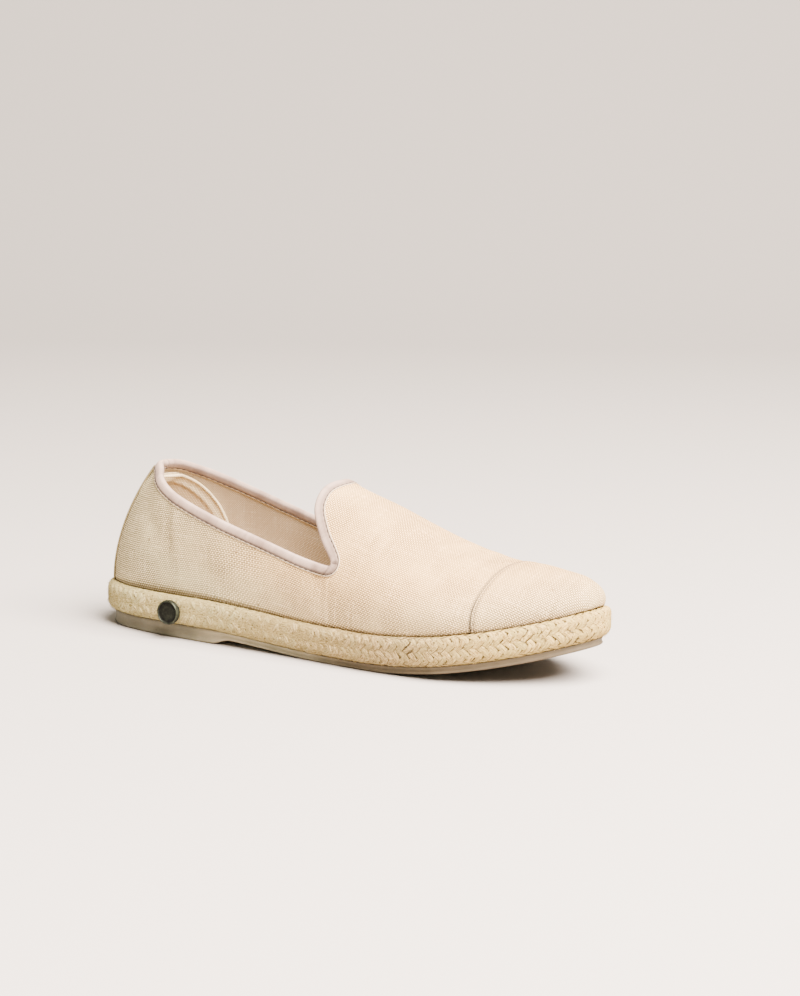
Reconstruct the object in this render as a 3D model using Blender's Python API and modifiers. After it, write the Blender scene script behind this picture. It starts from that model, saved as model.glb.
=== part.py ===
import math
from collections import namedtuple

import bmesh
import bpy
import numpy as np
from mathutils import Vector

# Driving sizes in metres. The right shoe stands with its toe towards +X and its
# outer side towards -Y. The origin is on the ground under the middle of the heel,
# HEEL_SEAT in front of the sole's back end. Places along the shoe are measured
# from that back end.
SHOE_LENGTH = 0.262
BALL_WIDTH = 0.0896
HEEL_SEAT = 0.036
GAP = 0.0003

# Rope sole
ROPE_THICKNESS = 0.0132
TOE_SPRING = 0.0175
SPRING_START = 0.160
SPRING_CURVE = 1.85
ARCH_START = 0.066
ARCH_END = 0.142
BRAID_PITCH = 0.0075
BRAID_RELIEF = 0.0008
BRAID_STEPS = 3
ROPE_EDGE = 0.0004

# Rubber outsole
HEEL_RUBBER = 0.0063
FORE_RUBBER = 0.0030
RUBBER_INSET = 0.0037
RUBBER_BEVEL = 0.0009
BREAST_START = 0.075
BREAST_RUN = 0.012

# Canvas upper
WALL = 0.0018
FEATHER_INSET = 0.0040
HEEL_RISE = 0.0532
INSTEP_RISE = 0.0607

# Toe cap, binding, stay, counter and insole
CAP_LENGTH = 0.0470
CAP_SEAM = SHOE_LENGTH - CAP_LENGTH
CAP_STEP = 0.0005
CAP_THICKNESS = 0.0009
CAP_REVEAL = 0.0012
TAPE_WIDTH = 0.0036
TAPE_INSIDE = 0.0033
TAPE_THICKNESS = 0.0009
TAPE_PLAY = 0.0004
STAY_WIDTH = 0.0140
STAY_THICKNESS = 0.0007
STAY_FOOT = 0.01
COUNTER_THICKNESS = 0.0009
COUNTER_PLAY = 0.0004
COUNTER_FOOT = 0.0050
INSOLE_THICKNESS = 0.0030
INSOLE_PLAY = 0.0005
INSOLE_ROUND = 0.0012

# Side stud
STUD_ALONG = 0.0562
STUD_RADIUS = 0.0056
STUD_DEPTH = 0.0026
STUD_RIM = 0.0009
STUD_DISH = 0.0005
STUD_LEVEL = 0.47

# Plan of the rope sole: place along the length, then reach to each side as a
# share of the ball width.
PlanRow = namedtuple("PlanRow", "along outer inner")
PLAN = [
    PlanRow(0.00, 0.000, 0.000),
    PlanRow(0.01, 0.128, 0.128),
    PlanRow(0.03, 0.215, 0.215),
    PlanRow(0.07, 0.292, 0.292),
    PlanRow(0.13, 0.345, 0.345),
    PlanRow(0.20, 0.373, 0.362),
    PlanRow(0.30, 0.393, 0.352),
    PlanRow(0.40, 0.408, 0.337),
    PlanRow(0.50, 0.432, 0.357),
    PlanRow(0.60, 0.463, 0.415),
    PlanRow(0.68, 0.477, 0.461),
    PlanRow(0.75, 0.474, 0.472),
    PlanRow(0.82, 0.430, 0.443),
    PlanRow(0.88, 0.360, 0.378),
    PlanRow(0.93, 0.278, 0.290),
    PlanRow(0.97, 0.188, 0.192),
    PlanRow(0.99, 0.114, 0.114),
    PlanRow(1.00, 0.000, 0.000),
]

# Ridge of the last: height over the sole as a share of the instep, and its
# place across as a share of the ball width.
RidgeRow = namedtuple("RidgeRow", "along rise across")
RIDGE = [
    RidgeRow(0.00, 1.25, 0.00),
    RidgeRow(0.25, 1.26, 0.00),
    RidgeRow(0.40, 1.06, 0.01),
    RidgeRow(0.48, 0.950, 0.02),
    RidgeRow(0.60, 0.770, 0.03),
    RidgeRow(0.70, 0.590, 0.04),
    RidgeRow(0.80, 0.435, 0.04),
    RidgeRow(0.87, 0.358, 0.03),
    RidgeRow(0.93, 0.276, 0.02),
    RidgeRow(1.00, 0.180, 0.00),
]

# Form of the sides, by place along the foot line: how square the section is,
# how far it swells past the foot line, and how far forward it leans by the ridge.
SideRow = namedtuple("SideRow", "along square swell lean")
SIDES = [
    SideRow(0.00, 1.50, 0.0006, 0.200),
    SideRow(0.05, 1.90, 0.0010, 0.205),
    SideRow(0.20, 2.60, 0.0010, 0.150),
    SideRow(0.35, 2.50, 0.0010, 0.065),
    SideRow(0.50, 2.30, 0.0012, 0.000),
    SideRow(0.75, 2.10, 0.0018, -0.020),
    SideRow(0.92, 2.15, 0.0014, -0.035),
    SideRow(1.00, 2.20, 0.0004, -0.060),
]
HEEL_PINCH = 0.44
PINCH_REACH = 0.60
PINCH_POWER = 1.3
BELLY_TOP = 0.75
RIDGE_BRINK = 0.985

# Collar from the heel down to its lowest point, height as a share of the heel
# rise, then the throat edge from there up to the tongue's top.
CollarRow = namedtuple("CollarRow", "along height")
COLLAR = [
    CollarRow(0.000, 1.032),
    CollarRow(0.030, 1.024),
    CollarRow(0.100, 0.940),
    CollarRow(0.200, 0.800),
    CollarRow(0.300, 0.675),
    CollarRow(0.400, 0.585),
    CollarRow(0.480, 0.525),
    CollarRow(0.525, 0.500),
    CollarRow(0.540, 0.495),
]
ThroatRow = namedtuple("ThroatRow", "climb along")
THROAT = [
    ThroatRow(0.00, 0.540),
    ThroatRow(0.02, 0.545),
    ThroatRow(0.06, 0.547),
    ThroatRow(0.12, 0.537),
    ThroatRow(0.25, 0.508),
    ThroatRow(0.50, 0.476),
    ThroatRow(0.75, 0.469),
    ThroatRow(1.00, 0.472),
]

# Inner heel counter: its reach forward at each height over the sole.
CounterRow = namedtuple("CounterRow", "height reach")
COUNTER = [
    CounterRow(0.00, 0.170),
    CounterRow(0.40, 0.168),
    CounterRow(0.59, 0.148),
    CounterRow(0.70, 0.127),
    CounterRow(0.79, 0.100),
    CounterRow(0.87, 0.066),
    CounterRow(0.92, 0.034),
]


# Side of the rope sole from its foot up: inset from the plan, relief of the
# plait as a share of its full relief, and shift of the plait in pitches.
BraidRow = namedtuple("BraidRow", "height inset relief shift")
BRAID = [
    BraidRow(0.00, RUBBER_INSET + ROPE_EDGE, 0.0, 0.00),
    BraidRow(0.10, 4.0 * ROPE_EDGE, 0.0, 0.00),
    BraidRow(0.28, 1.2 * ROPE_EDGE, 1.0, 0.00),
    BraidRow(0.50, 2.0 * ROPE_EDGE, -0.3, 0.25),
    BraidRow(0.72, 1.2 * ROPE_EDGE, 1.0, 0.50),
    BraidRow(0.93, 2.0 * ROPE_EDGE, 0.3, 0.75),
    BraidRow(1.00, 4.5 * ROPE_EDGE, 0.0, 0.00),
]
PLAIT_BUMPS = np.array([0.0, 1.0, 0.45])

# Side of the insole pad: height as a share of its thickness, and how much of its
# rounding is taken off.
PadRow = namedtuple("PadRow", "height round")
PAD = [
    PadRow(0.0, 0.0),
    PadRow(0.7, 0.0),
    PadRow(1.0, 1.0),
]

# Turned stud: radius and height less the rim's shares.
StudRow = namedtuple("StudRow", "radius height")
STUD_FACE = STUD_DEPTH - STUD_DISH
STUD_PROFILE = [
    StudRow(0.0, STUD_FACE),
    StudRow(STUD_RADIUS - STUD_RIM * 1.40, STUD_FACE),
    StudRow(STUD_RADIUS - STUD_RIM, STUD_DEPTH),
    StudRow(STUD_RADIUS - STUD_RIM * 0.35, STUD_DEPTH),
    StudRow(STUD_RADIUS, STUD_DEPTH - STUD_RIM * 0.4),
    StudRow(STUD_RADIUS, STUD_RIM * 0.4),
    StudRow(STUD_RADIUS - STUD_RIM * 0.4, 0.0),
    StudRow(0.0, 0.0),
]

# Folded tape over the collar's edge: depth below the edge and place out from the
# canvas, from the outer face over the edge to the inner one.
TapeRow = namedtuple("TapeRow", "depth out")
TAPE = [
    TapeRow(TAPE_WIDTH, TAPE_PLAY),
    TapeRow(TAPE_WIDTH / 2, TAPE_PLAY),
    TapeRow(TAPE_PLAY / 2, TAPE_PLAY),
    TapeRow(-TAPE_PLAY, -TAPE_PLAY / 2),
    TapeRow(-TAPE_PLAY * 1.5, -WALL / 2),
    TapeRow(-TAPE_PLAY, TAPE_PLAY / 2 - WALL),
    TapeRow(TAPE_PLAY / 2, -TAPE_PLAY - WALL),
    TapeRow(TAPE_INSIDE / 2, -TAPE_PLAY - WALL),
    TapeRow(TAPE_INSIDE, -TAPE_PLAY - WALL),
]

# Numbers of stations of the lofts
PLAN_SAMPLES = 1201
RUBBER_STATIONS = 45
INSOLE_STATIONS = 33
HEEL_COLUMNS = 18
VAMP_COLUMNS = 8
CAP_COLUMNS = 9
LOW_ROWS = 8
HIGH_ROWS = 11
HIGH_CROWDING = 1.8
CORNER_CROWDING = 1.15
STAY_ROWS = 9
STAY_COLUMNS = 5
COUNTER_SIDES = 8
STUD_SIDES = 28
CLIMB_SAMPLES = 101
TURN_SAMPLES = 240
TURN_SEARCH = 0.3 * math.pi
SLIDE_PASSES = 3
PLAN_STEP = 0.001
FRAME_STEP = 0.002

# Distances under which vertices are joined
FINE_WELD = 1e-5
SHELL_WELD = 1.5e-4
STRIP_WELD = 6e-5
LEAST_EDGE = 1e-6


# Curves and blends

def fair_curve(stations, values):
    stations = np.asarray(stations, float)
    values = np.asarray(values, float)
    steps = np.diff(stations)
    slopes = np.diff(values) / steps
    tangents = np.zeros(len(stations))
    tangents[0] = slopes[0]
    tangents[-1] = slopes[-1]
    for i in range(1, len(stations) - 1):
        if slopes[i - 1] * slopes[i] > 0:
            before = 2 * steps[i] + steps[i - 1]
            after = steps[i] + 2 * steps[i - 1]
            tangents[i] = (before + after) / (before / slopes[i - 1] + after / slopes[i])

    def value(place):
        place = np.clip(np.asarray(place, float), stations[0], stations[-1])
        i = np.clip(np.searchsorted(stations, place, side="right") - 1, 0, len(steps) - 1)
        s = (place - stations[i]) / steps[i]
        start = (1 + 2 * s) * (1 - s) ** 2 * values[i] + s * (1 - s) ** 2 * steps[i] * tangents[i]
        end = s * s * (3 - 2 * s) * values[i + 1] - s * s * (1 - s) * steps[i] * tangents[i + 1]
        return start + end

    return value


def ease(share):
    share = np.clip(share, 0.0, 1.0)
    return share * share * (3 - 2 * share)


def turn_at(along):
    return np.arccos(1 - 2 * np.asarray(along, float))


def along_at(turn):
    return (1 - np.cos(turn)) / 2


def from_back(x):
    return x + HEEL_SEAT


PLAN_TURNS = turn_at([row.along for row in PLAN])
OUTER_REACH = fair_curve(PLAN_TURNS, [row.outer * BALL_WIDTH for row in PLAN])
INNER_REACH = fair_curve(PLAN_TURNS, [row.inner * BALL_WIDTH for row in PLAN])
RIDGE_PLACES = [row.along for row in RIDGE]
RIDGE_RISE = fair_curve(RIDGE_PLACES, [row.rise * INSTEP_RISE for row in RIDGE])
RIDGE_ACROSS = fair_curve(RIDGE_PLACES, [row.across * BALL_WIDTH for row in RIDGE])
SIDE_TURNS = turn_at([row.along for row in SIDES])
SQUARENESS = fair_curve(SIDE_TURNS, [row.square for row in SIDES])
SWELL = fair_curve(SIDE_TURNS, [row.swell for row in SIDES])
LEAN = fair_curve([row.along for row in SIDES], [row.lean * SHOE_LENGTH for row in SIDES])
COLLAR_TURNS = turn_at([row.along for row in COLLAR])
COLLAR_HEIGHT = fair_curve(COLLAR_TURNS, [row.height * HEEL_RISE for row in COLLAR])
THROAT_TURN = fair_curve([row.climb for row in THROAT], turn_at([row.along for row in THROAT]))
COUNTER_REACH = fair_curve([row.height * HEEL_RISE for row in COUNTER],
                           [row.reach for row in COUNTER])
OUTER, INNER = -1, 1
CAP_RECESS = CAP_STEP - CAP_THICKNESS - GAP


# Sole

def plan_point(side, turn, inset=0.0):
    def raw(turn):
        folded = np.where(turn > math.pi, 2 * math.pi - turn, np.abs(turn))
        across = side * np.where((turn < 0) | (turn > math.pi), -1, 1)
        x = along_at(turn) * SHOE_LENGTH - HEEL_SEAT
        return x, np.where(across < 0, -OUTER_REACH(folded), INNER_REACH(folded))

    x, y = raw(turn)
    x_before, y_before = raw(turn - PLAN_STEP)
    x_after, y_after = raw(turn + PLAN_STEP)
    run = np.hypot(x_after - x_before, y_after - y_before)
    normal_x = -side * (y_after - y_before) / run
    normal_y = side * (x_after - x_before) / run
    return x + normal_x * -inset, y + normal_y * -inset


def rope_bottom(x):
    arch = ease((from_back(x) - ARCH_START) / (ARCH_END - ARCH_START))
    spring = np.clip((from_back(x) - SPRING_START) / (SHOE_LENGTH - SPRING_START), 0, 1)
    level = HEEL_RUBBER + (FORE_RUBBER - HEEL_RUBBER) * arch
    return level + GAP + TOE_SPRING * spring ** SPRING_CURVE


def rope_top(x):
    return rope_bottom(x) + ROPE_THICKNESS


def rubber_bottom(x):
    breast = ease((from_back(x) - BREAST_START) / BREAST_RUN)
    return (rope_bottom(x) - GAP - FORE_RUBBER) * breast


# Last

def last_point(side, turn, climb):
    turn = np.asarray(turn, float)
    climb = np.clip(np.asarray(climb, float), 0, 1)
    foot_x, foot_y = plan_point(side, turn, FEATHER_INSET)
    edge_x, edge_y = plan_point(side, turn, 0.0)
    power = 2 / SQUARENESS(np.abs(turn))
    quarter = climb * math.pi / 2
    inward = 1 - np.clip(np.cos(quarter), 0, 1) ** power
    upward = np.clip(np.sin(quarter), 0, 1) ** power
    ridge_x = along_at(turn) * SHOE_LENGTH - HEEL_SEAT + LEAN(along_at(turn))
    x = foot_x + (ridge_x - foot_x) * inward
    station = from_back(x) / SHOE_LENGTH
    foot_z = rope_top((foot_x + edge_x) / 2) + GAP
    z = foot_z + (rope_top(x) + GAP + RIDGE_RISE(station) - foot_z) * upward
    y = foot_y + (RIDGE_ACROSS(station) - foot_y) * inward
    rise = np.maximum((z - foot_z) / HEEL_RISE, 0)
    y = y * (1 - HEEL_PINCH * rise ** PINCH_POWER * np.exp(-(turn / PINCH_REACH) ** 2))
    belly = np.clip(upward / BELLY_TOP, 0, 1)
    swell = SWELL(np.abs(turn)) * 4 * belly * (1 - belly) / FEATHER_INSET
    x = x + swell * (edge_x - foot_x)
    y = y + swell * (edge_y - foot_y)
    return np.stack(np.broadcast_arrays(x, y, z), -1)


def last_frame(side, turn, climb):
    # Tangents along and up the last, and its normal. All ribs meet at the ridge,
    # so the frame is read a little below it.
    step = FRAME_STEP
    turn = np.asarray(turn, float)
    climb = np.clip(np.asarray(climb, float), step, RIDGE_BRINK)
    low = climb - step
    high = climb + step
    along = (last_point(side, turn + step, climb) - last_point(side, turn - step, climb)) / (2 * step)
    up = (last_point(side, turn, high) - last_point(side, turn, low)) / (2 * step)
    normal = np.cross(along, up) * -side
    return along, up, normal / np.linalg.norm(normal, axis=-1, keepdims=True)


def shell_point(side, turn, climb, out):
    normal = last_frame(side, turn, climb)[2]
    return last_point(side, turn, climb) + normal * np.asarray(out, float)[..., None]


def climb_for(side, turn, reading, target):
    # Climb at which a reading taken up the rib reaches its target.
    climbs = np.linspace(0, 1, CLIMB_SAMPLES)
    found = [np.interp(goal, reading(side, one, climbs), climbs)
             for one, goal in zip(np.atleast_1d(turn), np.atleast_1d(target))]
    return np.array(found)


def height_up(side, turn, climbs):
    points = last_point(side, np.full(len(climbs), turn), climbs)
    return np.maximum.accumulate(points[:, 2] - points[0, 2])


def turn_for_station(side, climb, x):
    turns = np.linspace(TURN_SEARCH, math.pi, TURN_SAMPLES)
    places = last_point(side, turns, np.full(len(turns), climb))[:, 0]
    return np.interp(x, np.maximum.accumulate(places), turns)


def slide(side, turn, climb, move):
    # Walk over the surface of the last by a given vector.
    goal = last_point(side, turn, climb) + move
    for _ in range(SLIDE_PASSES):
        along, up, normal = last_frame(side, turn, climb)
        miss = goal - last_point(side, turn, climb)
        aa = np.sum(along * along, -1)
        uu = np.sum(up * up, -1)
        au = np.sum(along * up, -1)
        a = np.sum(along * miss, -1)
        u = np.sum(up * miss, -1)
        span = aa * uu - au * au
        turn = turn + (a * uu - u * au) / span
        climb = np.clip(climb + (u * aa - a * au) / span, 0, 1)
    return turn, climb


# Meshes

def grid_faces(columns, rows, flip=False):
    faces = []
    for i in range(columns - 1):
        for j in range(rows - 1):
            a = i * rows + j
            quad = (a, a + rows, a + rows + 1, a + 1)
            faces.append(quad[::-1] if flip else quad)
    return faces


def weld_pieces(name, pieces, distance):
    work = bmesh.new()
    for points, faces in pieces:
        verts = [work.verts.new(point) for point in points]
        for face in faces:
            work.faces.new([verts[i] for i in face])
    bmesh.ops.remove_doubles(work, verts=work.verts[:], dist=distance)
    bmesh.ops.dissolve_degenerate(work, dist=LEAST_EDGE, edges=work.edges[:])
    mesh = bpy.data.meshes.new(name)
    work.to_mesh(mesh)
    work.free()
    return mesh


def add_object(mesh, material, collection, smooth_angle=40):
    shape = bpy.data.objects.new(mesh.name, mesh)
    collection.objects.link(shape)
    mesh.materials.append(material)
    mesh.shade_smooth()
    mesh.set_sharp_from_angle(angle=math.radians(smooth_angle))
    return shape


def thicken(shape, thickness, offset):
    solidify = shape.modifiers.new("Wall", "SOLIDIFY")
    solidify.thickness = thickness
    solidify.offset = offset
    solidify.use_rim = True


def ring_solid(name, rings):
    count = len(rings[0])
    half = count // 2
    points = np.concatenate(rings)
    faces = []
    for level in range(len(rings) - 1):
        base = level * count
        for i in range(count):
            j = (i + 1) % count
            faces.append((base + i, base + j, base + count + j, base + count + i))
    for level, flip in ((0, True), (len(rings) - 1, False)):
        base = level * count
        for i in range(half):
            loop = [base + i, base + i + 1, base + (count - i - 1) % count, base + (count - i) % count]
            loop = list(dict.fromkeys(loop))
            faces.append(loop[::-1] if flip else loop)
    return weld_pieces(name, [(points, faces)], FINE_WELD / 10)


def make_material(name, colour, roughness, metallic=0.0):
    material = bpy.data.materials.new(name)
    material.use_nodes = True
    shader = material.node_tree.nodes["Principled BSDF"]
    shader.inputs["Base Color"].default_value = (*colour, 1.0)
    shader.inputs["Roughness"].default_value = roughness
    shader.inputs["Metallic"].default_value = metallic
    material.diffuse_color = (*colour, 1.0)
    return material


def around(turns, place):
    # Whole ring: heel, outer side, toe, inner side.
    outer = place(OUTER, turns)
    inner = place(INNER, turns[1:-1][::-1])
    return np.concatenate([outer, inner])


# Pieces

def rope_sole(collection):
    fine = np.linspace(0, math.pi, PLAN_SAMPLES)
    spans = {}
    for side in (OUTER, INNER):
        x, y = plan_point(side, fine)
        spans[side] = np.concatenate([[0], np.cumsum(np.hypot(np.diff(x), np.diff(y)))])
    plaits = round(spans[OUTER][-1] / BRAID_PITCH)
    steps = plaits * BRAID_STEPS
    rings = []
    for row in BRAID:
        ring = []
        for side in (OUTER, INNER):
            turns = np.interp(np.linspace(0, spans[side][-1], steps + 1), spans[side], fine)
            phase = (np.arange(steps + 1) + round(row.shift * BRAID_STEPS)) % BRAID_STEPS
            inset = row.inset - row.relief * BRAID_RELIEF * PLAIT_BUMPS[phase]
            x, y = plan_point(side, turns, inset)
            points = np.stack([x, y, rope_bottom(x) + ROPE_THICKNESS * row.height], -1)
            ring.append(points if side == OUTER else points[1:-1][::-1])
        rings.append(np.concatenate(ring))
    mesh = ring_solid("jute_midsole", rings)
    add_object(mesh, make_material("jute rope", (0.72, 0.60, 0.42), 0.9), collection)


def rubber_sole(collection):
    places = [BREAST_START, BREAST_START + BREAST_RUN / 2, BREAST_START + BREAST_RUN,
              ARCH_END, SPRING_START]
    stations = np.linspace(0, math.pi, RUBBER_STATIONS)
    stations = np.sort(np.concatenate([stations, turn_at(np.array(places) / SHOE_LENGTH)]))

    def bottom(side, turns):
        x, y = plan_point(side, turns, RUBBER_INSET + RUBBER_BEVEL)
        return np.stack([x, y, rubber_bottom(x)], -1)

    def bevel(side, turns):
        x, y = plan_point(side, turns, RUBBER_INSET)
        return np.stack([x, y, rubber_bottom(x) + RUBBER_BEVEL], -1)

    def top(side, turns):
        x, y = plan_point(side, turns, RUBBER_INSET)
        return np.stack([x, y, rope_bottom(x) - GAP], -1)

    mesh = ring_solid("outsole", [around(stations, place) for place in (bottom, bevel, top)])
    add_object(mesh, make_material("taupe rubber", (0.30, 0.25, 0.20), 0.6), collection)


def insole(collection):
    stations = np.linspace(0, math.pi, INSOLE_STATIONS)
    inset = FEATHER_INSET + WALL - CAP_RECESS + INSOLE_PLAY
    rings = []
    for row in PAD:
        def place(side, turns, row=row):
            x, y = plan_point(side, turns, inset + INSOLE_ROUND * row.round)
            return np.stack([x, y, rope_top(x) + GAP + INSOLE_THICKNESS * row.height], -1)
        rings.append(around(stations, place))
    mesh = ring_solid("insole", rings)
    add_object(mesh, make_material("insole canvas", (0.66, 0.52, 0.38), 0.9), collection)


def collar_low(side):
    turn = COLLAR_TURNS[-1]
    climb = climb_for(side, turn, height_up, COLLAR_HEIGHT(turn))[0]
    return turn, climb


def high_climbs(low):
    share = np.linspace(0, 1, HIGH_ROWS) ** HIGH_CROWDING
    return low + (1 - low) * share


def throat_turn(low, climb):
    return THROAT_TURN((climb - low) / (1 - low))


def cap_grid(side, low):
    # Turns and climbs of the columns from the cap's seam to the toe.
    climbs = np.concatenate([np.linspace(0, low, LOW_ROWS), high_climbs(low)[1:]])
    seam = np.array([turn_for_station(side, climb, CAP_SEAM - HEEL_SEAT) for climb in climbs])
    share = np.linspace(0, 1, CAP_COLUMNS)[:, None]
    turns = seam + (math.pi - seam) * share
    return turns, np.broadcast_to(climbs, turns.shape)


def collar_route(side):
    # Turn and climb of the collar's edge, from the heel's middle to the tongue's top.
    low_turn, low = collar_low(side)
    back = low_turn * (1 - (1 - np.linspace(0, 1, HEEL_COLUMNS)) ** CORNER_CROWDING)
    tops = climb_for(side, back, height_up, COLLAR_HEIGHT(back))
    climbs = high_climbs(low)[1:]
    return np.concatenate([back, throat_turn(low, climbs)]), np.concatenate([tops, climbs])


def upper(collection):
    pieces = []
    for side in (OUTER, INNER):
        low_turn, low = collar_low(side)
        back, tops = (route[:HEEL_COLUMNS] for route in collar_route(side))
        turns = np.repeat(back[:, None], LOW_ROWS, 1)
        climbs = tops[:, None] * np.linspace(0, 1, LOW_ROWS)
        points = last_point(side, turns, climbs).reshape(-1, 3)
        pieces.append((points, grid_faces(HEEL_COLUMNS, LOW_ROWS, side == INNER)))
        cap_turns, cap_climbs = cap_grid(side, low)
        climbs = cap_climbs[0]
        start = np.where(climbs <= low, low_turn, throat_turn(low, np.maximum(climbs, low)))
        edge = np.array([turn_for_station(side, climb, CAP_SEAM - HEEL_SEAT - CAP_REVEAL / 2)
                         for climb in climbs])
        share = np.linspace(0, 1, VAMP_COLUMNS)[:, None]
        vamp = start + (edge - start) * share
        turns = np.concatenate([vamp, cap_turns])
        drop = np.concatenate([np.zeros(VAMP_COLUMNS), np.full(CAP_COLUMNS, CAP_RECESS)])
        columns = len(turns)
        climbs = np.broadcast_to(climbs, turns.shape)
        points = shell_point(side, turns, climbs, np.broadcast_to(drop[:, None], turns.shape))
        faces = grid_faces(columns, len(cap_climbs[0]), side == INNER)
        pieces.append((points.reshape(-1, 3), faces))
    mesh = weld_pieces("upper", pieces, SHELL_WELD)
    shape = add_object(mesh, make_material("cotton canvas", (0.84, 0.75, 0.64), 0.95), collection)
    thicken(shape, WALL, -1)


def toe_cap(collection):
    pieces = []
    for side in (OUTER, INNER):
        low = collar_low(side)[1]
        turns, climbs = cap_grid(side, low)
        turns = turns.copy()
        turns[0] = [turn_for_station(side, climb, CAP_SEAM - HEEL_SEAT + CAP_REVEAL / 2)
                    for climb in climbs[0]]
        points = shell_point(side, turns, climbs, np.full(turns.shape, CAP_STEP))
        pieces.append((points.reshape(-1, 3), grid_faces(*turns.shape, side == INNER)))
    mesh = weld_pieces("toe_cap", pieces, SHELL_WELD)
    shape = add_object(mesh, make_material("cap canvas", (0.86, 0.77, 0.66), 0.95), collection)
    thicken(shape, CAP_THICKNESS, -1)


def collar_binding(collection):
    rails = []
    for side in (OUTER, INNER):
        turn, climb = collar_route(side)
        edge = last_point(side, turn, climb)
        ahead = np.gradient(edge, axis=0)
        ahead[0, 0] = 0.0
        ahead[0, 2] = 0.0
        ahead[-1, 0] = 0.0
        ahead[-1, 2] = 0.0
        ahead /= np.linalg.norm(ahead, axis=1, keepdims=True)
        normal = last_frame(side, turn, climb)[2]
        inside = np.cross(normal, ahead) * side
        points = []
        for depth, out in TAPE:
            if depth > 0:
                walked = slide(side, turn, climb, inside * depth)
                points.append(shell_point(side, *walked, np.full(len(turn), out)))
            else:
                points.append(edge + inside * depth + normal * out)
        rails.append(np.stack(points, 1))
    loop = np.concatenate([rails[0], rails[1][::-1][1:-1]])
    loop = np.concatenate([loop, loop[:1]])
    faces = grid_faces(len(loop), len(TAPE))
    mesh = weld_pieces("collar_binding", [(loop.reshape(-1, 3), faces)], FINE_WELD)
    shape = add_object(mesh, make_material("binding tape", (0.72, 0.62, 0.56), 0.9), collection)
    thicken(shape, TAPE_THICKNESS, 1)


def heel_stay(collection):
    pieces = []
    for side in (OUTER, INNER):
        top = climb_for(side, 0.0, height_up, COLLAR_HEIGHT(0.0) - TAPE_WIDTH - TAPE_THICKNESS)[0]
        climbs = np.linspace(STAY_FOOT, top, STAY_ROWS)
        strips = []
        for share in np.linspace(0, 1, STAY_COLUMNS):
            across = np.array([0.0, side * STAY_WIDTH / 2 * share, 0.0])
            walked = slide(side, np.zeros(STAY_ROWS), climbs, np.tile(across, (STAY_ROWS, 1)))
            strips.append(shell_point(side, *walked, np.full(STAY_ROWS, GAP)))
        pieces.append((np.concatenate(strips), grid_faces(len(strips), STAY_ROWS, side == INNER)))
    mesh = weld_pieces("heel_stay", pieces, STRIP_WELD)
    shape = add_object(mesh, make_material("olive twill", (0.45, 0.40, 0.27), 0.9), collection)
    thicken(shape, STAY_THICKNESS, 1)


def heel_counter(collection):
    pieces = []
    heights = np.linspace(COUNTER_FOOT, COUNTER[-1].height * HEEL_RISE, COUNTER_SIDES)
    for side in (OUTER, INNER):
        reach = turn_at(COUNTER_REACH(heights))
        turns = np.linspace(0, 1, COUNTER_SIDES)[:, None] * reach
        climbs = np.stack([climb_for(side, turns[:, j], height_up, np.full(COUNTER_SIDES, height))
                           for j, height in enumerate(heights)], 1)
        points = shell_point(side, turns, climbs, np.full(turns.shape, -WALL - COUNTER_PLAY))
        pieces.append((points.reshape(-1, 3), grid_faces(*turns.shape, side == INNER)))
    mesh = weld_pieces("heel_counter", pieces, STRIP_WELD)
    shape = add_object(mesh, make_material("counter canvas", (0.80, 0.71, 0.58), 0.95), collection)
    thicken(shape, COUNTER_THICKNESS, -1)


def side_stud(collection):
    mesh = bpy.data.meshes.new("side_stud")
    mesh.from_pydata([(row.radius, 0, row.height) for row in STUD_PROFILE],
                     [(i, i + 1) for i in range(len(STUD_PROFILE) - 1)], [])
    shape = bpy.data.objects.new("side_stud", mesh)
    collection.objects.link(shape)
    mesh.materials.append(make_material("aged brass", (0.32, 0.28, 0.21), 0.4, 0.9))
    screw = shape.modifiers.new("Turn", "SCREW")
    screw.steps = STUD_SIDES
    screw.render_steps = STUD_SIDES
    screw.use_merge_vertices = True
    screw.merge_threshold = FINE_WELD
    turn = turn_at(STUD_ALONG / SHOE_LENGTH)
    near_x, near_y = plan_point(OUTER, turn, 0.0)
    seat_x, seat_y = plan_point(OUTER, turn, -BRAID_RELIEF - GAP)
    shape.location = (seat_x, seat_y, rope_bottom(seat_x) + ROPE_THICKNESS * STUD_LEVEL)
    outward = Vector((seat_x - near_x, seat_y - near_y, 0.0))
    shape.rotation_mode = "QUATERNION"
    shape.rotation_quaternion = outward.to_track_quat("Z", "Y")


def build():
    for shape in list(bpy.data.objects):
        bpy.data.objects.remove(shape, do_unlink=True)
    collection = bpy.data.collections.new("Espadrille")
    bpy.context.scene.collection.children.link(collection)
    rubber_sole(collection)
    rope_sole(collection)
    insole(collection)
    upper(collection)
    toe_cap(collection)
    collar_binding(collection)
    heel_stay(collection)
    heel_counter(collection)
    side_stud(collection)


build()
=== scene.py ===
import math

import bmesh
import bpy
import numpy as np
from mathutils import Matrix, Vector


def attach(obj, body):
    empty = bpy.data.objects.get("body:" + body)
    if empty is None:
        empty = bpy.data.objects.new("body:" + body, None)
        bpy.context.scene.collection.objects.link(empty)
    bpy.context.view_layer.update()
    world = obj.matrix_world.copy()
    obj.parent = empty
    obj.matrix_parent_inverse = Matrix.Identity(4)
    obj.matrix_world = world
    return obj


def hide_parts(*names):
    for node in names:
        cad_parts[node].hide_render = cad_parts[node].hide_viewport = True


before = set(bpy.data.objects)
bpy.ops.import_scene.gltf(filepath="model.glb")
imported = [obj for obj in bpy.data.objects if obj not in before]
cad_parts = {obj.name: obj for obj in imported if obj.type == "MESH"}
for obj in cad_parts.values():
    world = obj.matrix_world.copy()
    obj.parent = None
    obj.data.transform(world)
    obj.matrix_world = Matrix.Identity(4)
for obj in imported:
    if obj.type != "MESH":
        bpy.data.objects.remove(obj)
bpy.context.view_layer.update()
print("stage: frame loaded")

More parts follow.
